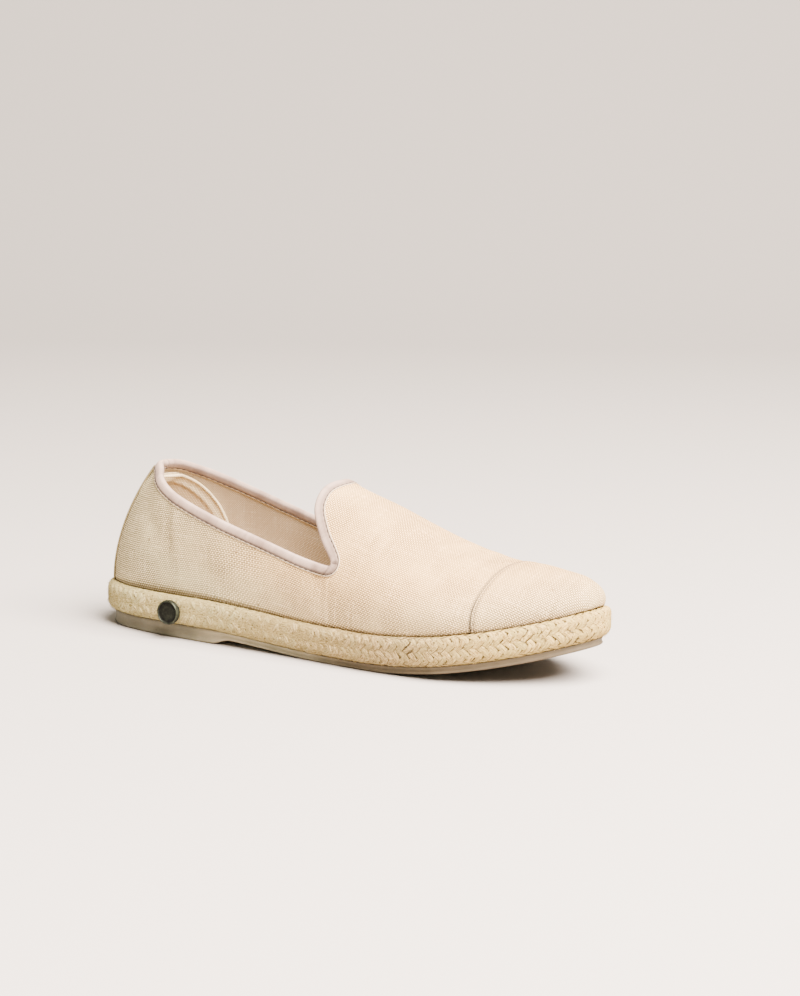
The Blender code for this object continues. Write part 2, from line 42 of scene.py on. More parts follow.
mm = 0.001
outer, inner = -1, 1
tightWeld, sheetWeld = 0.001 * mm, 0.03 * mm
dice = np.random.default_rng(38)

# The shoe's own sizes in metres, as in the solids: toe to +X, outer side to -Y
shoe = {
    "length": 0.262, "ballWidth": 0.0896, "heelSeat": 0.036, "gap": 0.0003,
    "ropeThickness": 0.0132, "toeSpring": 0.0175, "springStart": 0.160, "springCurve": 1.85,
    "archStart": 0.066, "archEnd": 0.142, "breastStart": 0.075, "breastRun": 0.012,
    "heelRubber": 0.0063, "foreRubber": 0.0030, "rubberInset": 0.0037, "rubberBevel": 0.0009,
    "wall": 0.0018, "featherInset": 0.0040, "heelRise": 0.0532, "instepRise": 0.0607,
    "heelPinch": 0.44, "pinchPower": 1.3, "pinchReach": 0.60, "bellyTop": 0.75,
    "ridgeBrink": 0.985,
    "capSeam": 0.2150, "capStep": 0.0005, "capRecess": -0.0007,
}

# Plan of the sole: place along, reach to the outer and the inner side
planRows = [
    (0.00, 0.000, 0.000), (0.01, 0.128, 0.128), (0.03, 0.215, 0.215), (0.07, 0.292, 0.292),
    (0.13, 0.345, 0.345), (0.20, 0.373, 0.362), (0.30, 0.393, 0.352), (0.40, 0.408, 0.337),
    (0.50, 0.432, 0.357), (0.60, 0.463, 0.415), (0.68, 0.477, 0.461), (0.75, 0.474, 0.472),
    (0.82, 0.430, 0.443), (0.88, 0.360, 0.378), (0.93, 0.278, 0.290), (0.97, 0.188, 0.192),
    (0.99, 0.114, 0.114), (1.00, 0.000, 0.000),
]
# Ridge of the last: place along, rise, place across
ridgeRows = [
    (0.00, 1.25, 0.00), (0.25, 1.26, 0.00), (0.40, 1.06, 0.01), (0.48, 0.950, 0.02),
    (0.60, 0.770, 0.03), (0.70, 0.590, 0.04), (0.80, 0.435, 0.04), (0.87, 0.358, 0.03),
    (0.93, 0.276, 0.02), (1.00, 0.180, 0.00),
]
# Sides: place along, squareness, swell, lean
sideRows = [
    (0.00, 1.50, 0.0006, 0.200), (0.05, 1.90, 0.0010, 0.205), (0.20, 2.60, 0.0010, 0.150),
    (0.35, 2.50, 0.0010, 0.065), (0.50, 2.30, 0.0012, 0.000), (0.75, 2.10, 0.0018, -0.020),
    (0.92, 2.15, 0.0014, -0.035), (1.00, 2.20, 0.0004, -0.060),
]
# Collar: place along, height; throat: climb, place along; counter: height, reach
collarRows = [
    (0.000, 1.032), (0.030, 1.024), (0.100, 0.940), (0.200, 0.798), (0.300, 0.668),
    (0.400, 0.572), (0.480, 0.502), (0.525, 0.474), (0.540, 0.468),
]
throatRows = [
    (0.00, 0.540), (0.02, 0.545), (0.06, 0.547), (0.12, 0.537), (0.25, 0.508),
    (0.50, 0.476), (0.75, 0.469), (1.00, 0.472),
]
counterRows = [
    (0.00, 0.170), (0.40, 0.168), (0.59, 0.150), (0.70, 0.130), (0.79, 0.105),
    (0.87, 0.076), (0.945, 0.034),
]


def fairCurve(stations, values):
    stations = np.asarray(stations, float)
    values = np.asarray(values, float)
    steps = np.diff(stations)
    slopes = np.diff(values) / steps
    tangents = np.zeros(len(stations))
    tangents[0] = slopes[0]
    tangents[-1] = slopes[-1]
    for i in range(1, len(stations) - 1):
        if slopes[i - 1] * slopes[i] > 0:
            before = 2 * steps[i] + steps[i - 1]
            after = steps[i] + 2 * steps[i - 1]
            tangents[i] = (before + after) / (before / slopes[i - 1] + after / slopes[i])

    def value(place):
        place = np.clip(np.asarray(place, float), stations[0], stations[-1])
        i = np.clip(np.searchsorted(stations, place, side="right") - 1, 0, len(steps) - 1)
        s = (place - stations[i]) / steps[i]
        start = (1 + 2 * s) * (1 - s) ** 2 * values[i] + s * (1 - s) ** 2 * steps[i] * tangents[i]
        end = s * s * (3 - 2 * s) * values[i + 1] - s * s * (1 - s) * steps[i] * tangents[i + 1]
        return start + end

    return value


def ease(share):
    share = np.clip(share, 0.0, 1.0)
    return share * share * (3 - 2 * share)


def hump(distance, width):
    return np.exp(-(np.asarray(distance) / width) ** 2)


def unit(vectors):
    return vectors / np.linalg.norm(vectors, axis=-1, keepdims=True)


def dot(first, second):
    return np.sum(first * second, -1)


def stacked(*parts):
    return np.stack(np.broadcast_arrays(*parts), -1)


def lineLengths(points):
    return np.concatenate([[0], np.cumsum(np.linalg.norm(np.diff(points, axis=0), axis=1))])


def turnAt(along):
    return np.arccos(1 - 2 * np.asarray(along, float))


def alongAt(turn):
    return (1 - np.cos(turn)) / 2


def fromBack(x):
    return x + shoe["heelSeat"]


def column(rows, k, size=1.0):
    return [row[k] * size for row in rows]


planTurns = turnAt(column(planRows, 0))
outerReach = fairCurve(planTurns, column(planRows, 1, shoe["ballWidth"]))
innerReach = fairCurve(planTurns, column(planRows, 2, shoe["ballWidth"]))
ridgeRise = fairCurve(column(ridgeRows, 0), column(ridgeRows, 1, shoe["instepRise"]))
ridgeAcross = fairCurve(column(ridgeRows, 0), column(ridgeRows, 2, shoe["ballWidth"]))
squareness = fairCurve(turnAt(column(sideRows, 0)), column(sideRows, 1))
swellOf = fairCurve(turnAt(column(sideRows, 0)), column(sideRows, 2))
leanOf = fairCurve(column(sideRows, 0), column(sideRows, 3, shoe["length"]))
collarTurns = turnAt(column(collarRows, 0))
collarHeight = fairCurve(collarTurns, column(collarRows, 1, shoe["heelRise"]))
throatTurnOf = fairCurve(column(throatRows, 0), turnAt(column(throatRows, 1)))
counterReach = fairCurve(column(counterRows, 0, shoe["heelRise"]), column(counterRows, 1))


def planPoint(side, turn, inset=0.0):
    step = 0.001

    def raw(turn):
        folded = np.where(turn > math.pi, 2 * math.pi - turn, np.abs(turn))
        across = side * np.where((turn < 0) | (turn > math.pi), -1, 1)
        x = alongAt(turn) * shoe["length"] - shoe["heelSeat"]
        return x, np.where(across < 0, -outerReach(folded), innerReach(folded))

    x, y = raw(turn)
    xBefore, yBefore = raw(turn - step)
    xAfter, yAfter = raw(turn + step)
    run = np.hypot(xAfter - xBefore, yAfter - yBefore)
    normalX = -side * (yAfter - yBefore) / run
    normalY = side * (xAfter - xBefore) / run
    return x + normalX * -inset, y + normalY * -inset


def ropeBottom(x):
    arch = ease((fromBack(x) - shoe["archStart"]) / (shoe["archEnd"] - shoe["archStart"]))
    rise = (fromBack(x) - shoe["springStart"]) / (shoe["length"] - shoe["springStart"])
    level = shoe["heelRubber"] + (shoe["foreRubber"] - shoe["heelRubber"]) * arch
    return level + shoe["gap"] + shoe["toeSpring"] * np.clip(rise, 0, 1) ** shoe["springCurve"]


def ropeTop(x):
    return ropeBottom(x) + shoe["ropeThickness"]


def rubberBottom(x):
    breast = ease((fromBack(x) - shoe["breastStart"]) / shoe["breastRun"])
    return (ropeBottom(x) - shoe["gap"] - shoe["foreRubber"]) * breast


def lastPoint(side, turn, climb):
    turn = np.asarray(turn, float)
    climb = np.clip(np.asarray(climb, float), 0, 1)
    footX, footY = planPoint(side, turn, shoe["featherInset"])
    edgeX, edgeY = planPoint(side, turn, 0.0)
    power = 2 / squareness(np.abs(turn))
    quarter = climb * math.pi / 2
    inward = 1 - np.clip(np.cos(quarter), 0, 1) ** power
    upward = np.clip(np.sin(quarter), 0, 1) ** power
    ridgeX = alongAt(turn) * shoe["length"] - shoe["heelSeat"] + leanOf(alongAt(turn))
    x = footX + (ridgeX - footX) * inward
    footZ = ropeTop((footX + edgeX) / 2) + shoe["gap"]
    top = ropeTop(x) + shoe["gap"] + ridgeRise(fromBack(x) / shoe["length"])
    z = footZ + (top - footZ) * upward
    y = footY + (ridgeAcross(fromBack(x) / shoe["length"]) - footY) * inward
    rise = np.maximum((z - footZ) / shoe["heelRise"], 0)
    pinch = shoe["heelPinch"] * rise ** shoe["pinchPower"] * hump(turn, shoe["pinchReach"])
    y = y * (1 - pinch)
    belly = np.clip(upward / shoe["bellyTop"], 0, 1)
    swell = swellOf(np.abs(turn)) * 4 * belly * (1 - belly) / shoe["featherInset"]
    x = x + swell * (edgeX - footX)
    y = y + swell * (edgeY - footY)
    return stacked(x, y, z)


def lastFrame(side, turn, climb):
    step = 0.002
    turn = np.asarray(turn, float)
    climb = np.clip(np.asarray(climb, float), step, shoe["ridgeBrink"])
    along = lastPoint(side, turn + step, climb) - lastPoint(side, turn - step, climb)
    up = lastPoint(side, turn, climb + step) - lastPoint(side, turn, climb - step)
    return along / (2 * step), up / (2 * step), unit(np.cross(along, up) * -side)


# Soft troughs (-) and ridges (+) of the cloth on the outer and inner
# sides: side, from the back, height over the sole, slope, half length, half width, lift
sideFolds = [
    (outer, 0.022, 0.044, -34, 0.016, 0.0036, 0.00080),
    (outer, 0.033, 0.036, -42, 0.018, 0.0046, -0.00090),
    (outer, 0.0495, 0.028, -82, 0.013, 0.0020, -0.00060),
    (outer, 0.054, 0.028, -80, 0.014, 0.0030, 0.00050),
    (outer, 0.070, 0.016, -30, 0.020, 0.0060, -0.00040),
    (outer, 0.096, 0.014, -12, 0.024, 0.0060, 0.00040),
    (outer, 0.138, 0.017, -75, 0.008, 0.0042, -0.00060),
    (outer, 0.128, 0.012, -35, 0.012, 0.0050, 0.00035),
    (outer, 0.150, 0.014, -110, 0.012, 0.0055, -0.00045),
    (outer, 0.178, 0.015, -60, 0.014, 0.0060, 0.00030),
    (inner, 0.022, 0.038, -42, 0.018, 0.0045, 0.00050),
    (inner, 0.040, 0.030, -55, 0.016, 0.0050, -0.00055),
    (inner, 0.050, 0.026, -80, 0.013, 0.0032, -0.00040),
    (inner, 0.084, 0.015, -15, 0.024, 0.0065, 0.00045),
    (inner, 0.120, 0.013, -20, 0.020, 0.0055, -0.00045),
    (inner, 0.140, 0.017, -78, 0.009, 0.0044, -0.00055),
    (inner, 0.166, 0.016, -60, 0.014, 0.0060, 0.00035),
]
# The same over the top: from the back, place across, slope, half length, half width, lift
topFolds = [
    (0.136, -0.004, 8, 0.020, 0.0070, -0.00045),
    (0.158, 0.006, -20, 0.018, 0.0055, 0.00040),
    (0.178, -0.003, 74, 0.011, 0.0040, -0.00035),
    (0.190, 0.003, 82, 0.012, 0.0034, -0.00050),
    (0.197, 0.002, 86, 0.013, 0.0030, 0.00045),
    (0.204, 0.001, 88, 0.013, 0.0028, -0.00045),
    (0.224, 0.002, 88, 0.010, 0.0034, 0.00030),
    (0.234, 0.001, 85, 0.009, 0.0032, -0.00030),
]


# Small gathers where the cloth is pulled under at the toe and heel, and how it turns in
# under itself at the foot
gatherSpec = {
    "waves": 92, "drift": 31, "size": 0.11 * mm, "from": 0.085, "over": 0.03,
    "level": 1.5 * mm, "height": 4.5 * mm, "footTurn": 0.35 * mm, "footReach": 1.2 * mm,
    "footDrop": 0.6 * mm, "topFade": 12 * mm,
}


def alongFold(first, second, slope):
    # Distances along a fold's line and off it
    c, s = math.cos(math.radians(slope)), math.sin(math.radians(slope))
    return first * c + second * s, second * c - first * s


def foldLift(side, points):
    g = gatherSpec
    station = fromBack(points[..., 0])
    height = points[..., 2] - ropeTop(points[..., 0])
    lift = np.zeros(station.shape)
    for which, along, level, slope, reach, width, rise in sideFolds:
        if which == side:
            run, off = alongFold(station - along, height - level, slope)
            lift += rise * hump(run, reach) * hump(off, width)
    for along, across, slope, reach, width, rise in topFolds:
        run, off = alongFold(station - along, points[..., 1] - across, slope)
        lift += rise * hump(run, reach) * hump(off, width) * ease(height / g["topFade"])
    around = np.arctan2(points[..., 1], station - 0.5 * shoe["length"])
    gather = np.sin(around * g["waves"] + 1.3 * np.sin(around * g["drift"])) * g["size"]
    ends = ease((np.abs(station - 0.5 * shoe["length"]) - g["from"]) / g["over"])
    lift += gather * ends * hump(height - g["level"], g["height"])
    return lift - g["footTurn"] * hump(height, g["footReach"])


def skinPoint(side, turn, climb, out=0.0, folds=1.0):
    points = lastPoint(side, turn, climb)
    normal = lastFrame(side, turn, climb)[2]
    lift = np.asarray(out, float) + folds * foldLift(side, points)
    points = points + normal * lift[..., None]
    # its foot runs down a little, into the plait
    height = points[..., 2] - ropeTop(points[..., 0])
    points[..., 2] -= gatherSpec["footDrop"] * hump(height, gatherSpec["footReach"])
    return points


def climbFor(side, turn, target):
    climbs = np.linspace(0, 1, 161)
    found = []
    for one, goal in zip(np.atleast_1d(turn), np.atleast_1d(target)):
        points = lastPoint(side, np.full(len(climbs), one), climbs)
        heights = np.maximum.accumulate(points[:, 2] - points[0, 2])
        found.append(np.interp(goal, heights, climbs))
    return np.array(found)


def turnForStation(side, climb, x):
    turns = np.linspace(0.3 * math.pi, math.pi, 240)
    places = lastPoint(side, turns, np.full(len(turns), climb))[:, 0]
    return np.interp(x, np.maximum.accumulate(places), turns)


def slide(side, turn, climb, move):
    goal = lastPoint(side, turn, climb) + move
    for _ in range(4):
        along, up = lastFrame(side, turn, climb)[:2]
        miss = goal - lastPoint(side, turn, climb)
        aa, uu, au = dot(along, along), dot(up, up), dot(along, up)
        a, u = dot(along, miss), dot(up, miss)
        span = aa * uu - au * au
        turn = turn + (a * uu - u * au) / span
        climb = np.clip(climb + (u * aa - a * au) / span, 0, 1)
    return turn, climb


def lowCorner(side):
    turn = collarTurns[-1]
    return turn, climbFor(side, turn, collarHeight(turn))[0]


# The cloth's own lie: metres along the cloth and across it at any turn and climb.
# Behind, the rows follow the sole; over the vamp they follow the ridge.
lieTurns = np.linspace(0, math.pi, 181)
lieClimbs = np.linspace(0, 1, 81)


def measureLie(side):
    grid = lastPoint(side, lieTurns[:, None], lieClimbs[None, :])
    up = np.concatenate([np.zeros((len(lieTurns), 1)),
                         np.cumsum(np.linalg.norm(np.diff(grid, axis=1), axis=2), 1)], 1)
    foot = lineLengths(grid[:, 0])
    heading = unit(grid[:, 0, :2] - grid[:, -1, :2])
    left = up[:, -1:] - up
    meet = np.interp(0.42, alongAt(lieTurns), np.arange(len(lieTurns)))
    k = int(round(meet))
    footU = foot[:, None] - foot[k] + grid[k, -1, 0] + 0 * up
    footV = side * (up[k, -1] - up)
    ridgeU = grid[:, -1:, 0] + left * heading[:, :1]
    ridgeV = left * heading[:, 1:]
    share = ease((alongAt(lieTurns) - 0.28) / 0.26)[:, None]
    return np.stack([footU + (ridgeU - footU) * share, footV + (ridgeV - footV) * share], -1)


lieTables = {side: measureLie(side) for side in (outer, inner)}


def clothLie(side, turn, climb):
    turn, climb = np.broadcast_arrays(np.abs(turn), climb)
    i = np.clip(turn / math.pi * (len(lieTurns) - 1), 0, len(lieTurns) - 1.0001)
    j = np.clip(climb * (len(lieClimbs) - 1), 0, len(lieClimbs) - 1.0001)
    i0, j0 = i.astype(int), j.astype(int)
    a, b = (i - i0)[..., None], (j - j0)[..., None]
    table = lieTables[side]
    low = table[i0, j0] * (1 - a) + table[i0 + 1, j0] * a
    high = table[i0, j0 + 1] * (1 - a) + table[i0 + 1, j0 + 1] * a
    return low * (1 - b) + high * b


# Meshes

def gridFaces(columns, rows, closed=False):
    i = np.arange(columns if closed else columns - 1)[:, None]
    j = np.arange(rows - 1)[None, :]
    a = i * rows + j
    b = (i + 1) % columns * rows + j
    return np.stack([a, b, b + 1, a + 1], -1).reshape(-1, 4)


def tubeFaces(rings, sides):
    i = np.arange(rings - 1)[:, None]
    k = np.arange(sides)[None, :]
    j = (k + 1) % sides
    return np.stack([i * sides + k, (i + 1) * sides + k, (i + 1) * sides + j, i * sides + j],
                    -1).reshape(-1, 4)


def plateFaces(columns, rows, row, flip):
    # One row of a closed grid round the shoe, filled in strips across it
    i = np.arange(columns // 2)
    strip = np.stack([i * rows + row, (i + 1) * rows + row,
                      (columns - i - 1) % columns * rows + row,
                      (columns - i) % columns * rows + row], -1)
    return strip[:, ::-1] if flip else strip


def bothRings(place):
    # A line of the outer side and back along the inner side, as one closed ring
    first, second = place(outer), place(inner)
    return np.concatenate([first, second[::-1][1:-1]])


def ringStack(lines):
    # Points and faces of closed rings round the shoe, filled at both ends; each line is
    # a function of the side
    points = np.stack([bothRings(line) for line in lines], 1)
    columns, rows = points.shape[:2]
    faces = [gridFaces(columns, rows, closed=True)[:, ::-1], plateFaces(columns, rows, 0, True),
             plateFaces(columns, rows, rows - 1, False)]
    return points.reshape(-1, 3), faces


def copiesOf(block, count, size):
    # Faces of one form, counted on for many copies of it
    steps = (np.arange(count) * size)[:, None, None]
    return (np.asarray(block)[None] + steps).reshape(-1, len(block[0]))


def makePiece(name, points, faces, finish, attributes=None, weld=0.0):
    # faces is a list of arrays of corners, all counted over the same points
    mesh = bpy.data.meshes.new(name)
    corners = [tuple(int(i) for i in face) for block in faces for face in block]
    mesh.from_pydata(np.asarray(points, float).tolist(), [], corners)
    for key, values in (attributes or {}).items():
        values = np.asarray(values, np.float32)
        kind = "FLOAT" if values.ndim == 1 else "FLOAT_VECTOR"
        layer = mesh.attributes.new(key, kind, "POINT")
        layer.data.foreach_set("value" if values.ndim == 1 else "vector", values.ravel())
    mesh.validate()
    mesh.update()
    if weld:
        work = bmesh.new()
        work.from_mesh(mesh)
        bmesh.ops.remove_doubles(work, verts=work.verts[:], dist=weld)
        bmesh.ops.dissolve_degenerate(work, dist=tightWeld, edges=work.edges[:])
        bmesh.ops.recalc_face_normals(work, faces=work.faces[:])
        work.to_mesh(mesh)
        work.free()
    mesh.materials.append(finish)
    mesh.polygons.foreach_set("use_smooth", [True] * len(mesh.polygons))
    piece = bpy.data.objects.new(name, mesh)
    bpy.context.scene.collection.objects.link(piece)
    return piece


# Painted light and shade on the cloth: warm and bright over the top as painted light, and paler
# yellow as painted shade low down and round the heel
paintedShadeSpec = {"lowShare": 0.5, "band": 24 * mm, "from": 0.015, "over": 0.130}


def shellPiece(name, sheets, finish):
    # Each sheet is a grid of face points, the same grid of back points, its lie and
    # how much painted crease shade each point gets
    points, faces, lie, creaseShades, start = [], [], [], [], 0
    for front, back, cloth, creaseShade in sheets:
        columns, rows = front.shape[:2]
        count = columns * rows
        front, back = front.reshape(-1, 3), back.reshape(-1, 3)
        creaseShades += [np.broadcast_to(creaseShade, (columns, rows)).reshape(-1)] * 2
        cloth = np.concatenate([cloth.reshape(count, -1), np.zeros((count, 1))], 1)
        points += [front, back]
        lie += [cloth, cloth]
        grid = gridFaces(columns, rows) + start
        faces += [grid, grid[:, ::-1] + count]
        for line, closed in ((np.arange(columns) * rows, False),
                             (np.arange(columns) * rows + rows - 1, True),
                             (np.arange(rows), True),
                             (np.arange(rows) + (columns - 1) * rows, False)):
            line = line + start
            rim = np.stack([line[:-1], line[1:], line[1:] + count, line[:-1] + count], -1)
            faces.append(rim[:, ::-1] if closed else rim)
        start += 2 * count
    points = np.concatenate(points)
    height = points[:, 2] - ropeTop(points[:, 0])
    # painted shade mask: low down near the plait and round the heel; where it is low the finish
    # paints light
    behind = 1 - ease((fromBack(points[:, 0]) - paintedShadeSpec["from"]) / paintedShadeSpec["over"])
    paintedShade = paintedShadeSpec["lowShare"] * (1 - ease(height / paintedShadeSpec["band"])) + behind
    return makePiece(name, points, faces, finish,
                     {"cloth": np.concatenate(lie), "paintedShade": np.clip(paintedShade, 0, 1),
                      "creaseShade": np.concatenate(creaseShades)}, sheetWeld)


def scatter(name, template, faces, origins, axes, finish, attributes):
    # Copies of one small form, each with its own origin and three axis vectors
    template = np.asarray(template, float)
    count, size = len(origins), len(template)
    points = np.einsum("nij,kj->nki", axes, template) + origins[:, None, :]
    blocks = [copiesOf(block, count, size) for block in faces]
    extra = {key: np.repeat(values, size, 0) for key, values in attributes.items()}
    return makePiece(name, points.reshape(-1, 3), blocks, finish, extra)


# Form of every stitch: how its ends round off and dive into the cloth, its height as a
# share of its width, and how far it leans in degrees
stitchForm = {"rings": 7, "sides": 8, "ends": 3.2, "dive": 0.5, "height": 0.8, "lean": 4}


def capsule():
    # Stitch lying along x from -1 to 1
    rings, sides, dive = (stitchForm[key] for key in ("rings", "sides", "dive"))
    points = []
    for t in np.linspace(-1, 1, rings):
        radius = max(1 - abs(t) ** stitchForm["ends"], 0.0) ** 0.5
        for k in range(sides):
            angle = 2 * math.pi * k / sides
            points.append((t, radius * math.cos(angle), radius * math.sin(angle) - dive * t * t))
    first, last = len(points), len(points) + 1
    points += [(-1.0, 0, -dive), (1.0, 0, -dive)]
    quads = np.roll(tubeFaces(rings, sides)[:, ::-1], 1, axis=1)
    tips = []
    for k in range(sides):
        j = (k + 1) % sides
        tips.append((first, j, k))
        tips.append((last, (rings - 1) * sides + k, (rings - 1) * sides + j))
    return points, [quads, tips]


def stitchRow(name, line, normals, look, finish):
    # Even stitches along a line on the cloth, each with its ends diving into the cloth
    run = lineLengths(line)
    count = max(int(run[-1] / look["pitch"]), 1)
    middles = (np.arange(count) + 0.5) * run[-1] / count

    def at(table, place):
        return np.stack([np.interp(place, run, table[:, k]) for k in range(3)], 1)

    centre = at(line, middles)
    ahead = unit(at(line, middles + look["pitch"] / 4) - at(line, middles - look["pitch"] / 4))
    across = unit(np.cross(unit(at(normals, middles)), ahead))
    normal = np.cross(ahead, across)
    slant = np.radians(dice.normal(0, stitchForm["lean"], count))[:, None]
    forward = ahead * np.cos(slant) + across * np.sin(slant)
    sideways = across * np.cos(slant) - ahead * np.sin(slant)
    axes = np.stack([forward * look["length"] / 2, sideways * look["width"] / 2,
                     normal * look["width"] / 2 * stitchForm["height"]], -1)
    template, faces = capsule()
    lie = np.stack([middles, np.zeros(count), np.zeros(count)], 1)
    centre = centre + normal * look["rise"]
    return scatter(name, template, faces, centre, axes, finish, {"cloth": lie})


# Materials

class Value:
    # A number that varies over the surface, written with ordinary operators
    def __init__(self, finish, socket):
        self.finish = finish
        self.socket = socket

    def __add__(self, other):
        return self.finish.math("ADD", self, other)

    def __sub__(self, other):
        return self.finish.math("SUBTRACT", self, other)

    def __rsub__(self, other):
        return self.finish.math("SUBTRACT", other, self)

    def __mul__(self, other):
        return self.finish.math("MULTIPLY", self, other)

    def __pow__(self, other):
        return self.finish.math("POWER", self, other)

    __radd__ = __add__
    __rmul__ = __mul__

    def sine(self):
        return self.finish.math("SINE", self)

    def size(self):
        return self.finish.math("ABSOLUTE", self)

    def above(self, other):
        return self.finish.math("MAXIMUM", self, other)

    def between(self, low, high):
        settings = {"interpolation_type": "SMOOTHSTEP"}
        sockets = {"Value": self, "From Min": low, "From Max": high}
        made = self.finish.node("ShaderNodeMapRange", settings, sockets)
        return Value(self.finish, made.outputs[0])


class Finish:
    def __init__(self, name, **constants):
        self.material = bpy.data.materials.new(name)
        self.material.use_nodes = True
        self.tree = self.material.node_tree
        self.tree.nodes.clear()
        self.shader = self.node("ShaderNodeBsdfPrincipled", sockets=constants)
        self.node("ShaderNodeOutputMaterial", sockets={"Surface": self.shader.outputs[0]})

    def node(self, kind, settings=None, sockets=None):
        made = self.tree.nodes.new(kind)
        for key, value in (settings or {}).items():
            setattr(made, key, value)
        for key, value in (sockets or {}).items():
            self.feed(made.inputs[key], value)
        return made

    def feed(self, target, value):
        if isinstance(value, Value):
            value = value.socket
        if isinstance(value, bpy.types.NodeSocket):
            self.tree.links.new(value, target)
        elif target.type == "RGBA":
            target.default_value = (*value[:3], 1.0)
        else:
            target.default_value = value

    def math(self, operation, *numbers):
        made = self.node("ShaderNodeMath", {"operation": operation}, dict(enumerate(numbers)))
        return Value(self, made.outputs[0])

    def place(self, attribute):
        return self.node("ShaderNodeAttribute", {"attribute_name": attribute}).outputs["Vector"]

    def amount(self, attribute):
        made = self.node("ShaderNodeAttribute", {"attribute_name": attribute})
        return Value(self, made.outputs["Fac"])

    def point(self):
        return self.node("ShaderNodeTexCoord").outputs["Object"]

    def split(self, vector):
        parts = self.node("ShaderNodeSeparateXYZ", sockets={0: vector}).outputs
        return [Value(self, part) for part in parts]

    def join(self, x, y, z):
        return self.node("ShaderNodeCombineXYZ", sockets={0: x, 1: y, 2: z}).outputs[0]

    def stretch(self, vector, factors):
        settings = {"operation": "MULTIPLY"}
        return self.node("ShaderNodeVectorMath", settings, {0: vector, 1: factors}).outputs[0]

    def noise(self, vector, scale, detail=2.0, rough=0.5):
        sockets = {"Vector": vector, "Scale": scale, "Detail": detail, "Roughness": rough}
        return Value(self, self.node("ShaderNodeTexNoise", sockets=sockets).outputs[0])

    def cells(self, vector, scale):
        made = self.node("ShaderNodeTexVoronoi", sockets={"Vector": vector, "Scale": scale})
        shade = self.node("ShaderNodeSeparateColor", sockets={0: made.outputs["Color"]})
        return Value(self, made.outputs["Distance"]), Value(self, shade.outputs[0])

    def blend(self, factor, first, second, mode="MIX"):
        settings = {"data_type": "RGBA", "blend_type": mode, "clamp_factor": True}
        return self.node("ShaderNodeMix", settings, {0: factor, 6: first, 7: second}).outputs[2]

    def bump(self, height, distance, strength=1.0, under=None):
        sockets = {"Height": height, "Distance": distance, "Strength": strength}
        if under is not None:
            sockets["Normal"] = under
        return self.node("ShaderNodeBump", sockets=sockets).outputs[0]

    def finish(self, **sockets):
        for key, value in sockets.items():
            self.feed(self.shader.inputs[key.replace("_", " ")], value)
        return self.material


def sRgb(*colour):
    # Colour given as on a screen, 0 to 255, turned into light
    return tuple(((c / 255 + 0.055) / 1.055) ** 2.4 if c > 10 else c / 3295 for c in colour)


def wovenFinish(name, look):
    made = Finish(name, **{"Specular IOR Level": 0.06})
    cloth = made.place("cloth")
    along, across = made.split(cloth)[:2]
    wander = (made.noise(cloth, 260, 2) - 0.5) * (look["pitchAlong"] * 0.55)
    a = ((along + wander) * (math.pi / look["pitchAlong"])).sine()
    b = ((across + wander) * (math.pi / look["pitchAcross"])).sine()
    cell = a * b
    warp = cell.above(0.0) ** 0.7
    weft = (cell * -1.0).above(0.0) ** 0.7
    slubAlong = made.noise(made.stretch(cloth, (55, 1 / look["pitchAcross"], 1)), 1.0, 2)
    slubAcross = made.noise(made.stretch(cloth, (1 / look["pitchAlong"], 55, 1)), 1.0, 2)
    relief = warp * (0.75 + slubAlong * 0.5) + weft * (0.45 + slubAcross * 0.4)
    cloud = made.noise(cloth, look["cloud"], 3, 0.6)
    threads = made.blend(warp.between(0.05, 0.8), look["weft"], look["warp"])
    shade = relief.between(0.08, 0.95)
    colour = made.blend(shade, look["gap"], threads)
    colour = made.blend(cloud.between(0.38, 0.72) * look["cloudShare"], colour, look["tint"])
    streak = (slubAlong + slubAcross).between(1.08, 1.35)
    colour = made.blend(streak * look["streak"], colour, look["slub"])
    if look["flecks"]:
        spot, chance = made.cells(made.stretch(cloth, (1.0, 1.6, 1.0)), look["flecks"])
        fleck = (1 - spot.between(0.05, 0.13)) * chance.between(0.66, 0.7)
        colour = made.blend(fleck * look["fleckShare"], colour, look["fleck"])
    # painted light multiplied in where the painted shade mask is low, painted shade multiplied in
    # where it is high
    paintedShade = made.amount("paintedShade")
    colour = made.blend((1 - paintedShade) * look["litShare"], colour, look["lit"], "MULTIPLY")
    shaded = paintedShade.between(0.5, 1.0) * look["litShare"]
    colour = made.blend(shaded, colour, look["shaded"], "MULTIPLY")
    # painted shade in creases: along the foot, the cap's edge and seam, and the patch's steps
    colour = made.blend(made.amount("creaseShade") * look["creaseShadeShare"], colour, look["seam"])
    fuzz = made.noise(cloth, 2600, 2)
    normal = made.bump(relief + fuzz * 0.25, look["depth"], look["strength"])
    return made.finish(Base_Color=colour, Roughness=0.86 + fuzz * 0.12, Normal=normal)


def threadFinish(name, look):
    made = Finish(name, **{"Specular IOR Level": 0.3, "Sheen Weight": 0.1})
    cloth = made.place("cloth")
    twist = made.noise(made.point(), 1500, 2)
    cloud = made.noise(cloth, 300, 2)
    colour = made.blend(cloud.between(0.3, 0.7), look["dark"], look["light"])
    normal = made.bump(twist, 0.08 * mm, 0.6)
    return made.finish(Base_Color=colour, Roughness=0.8 + twist * 0.1, Normal=normal)


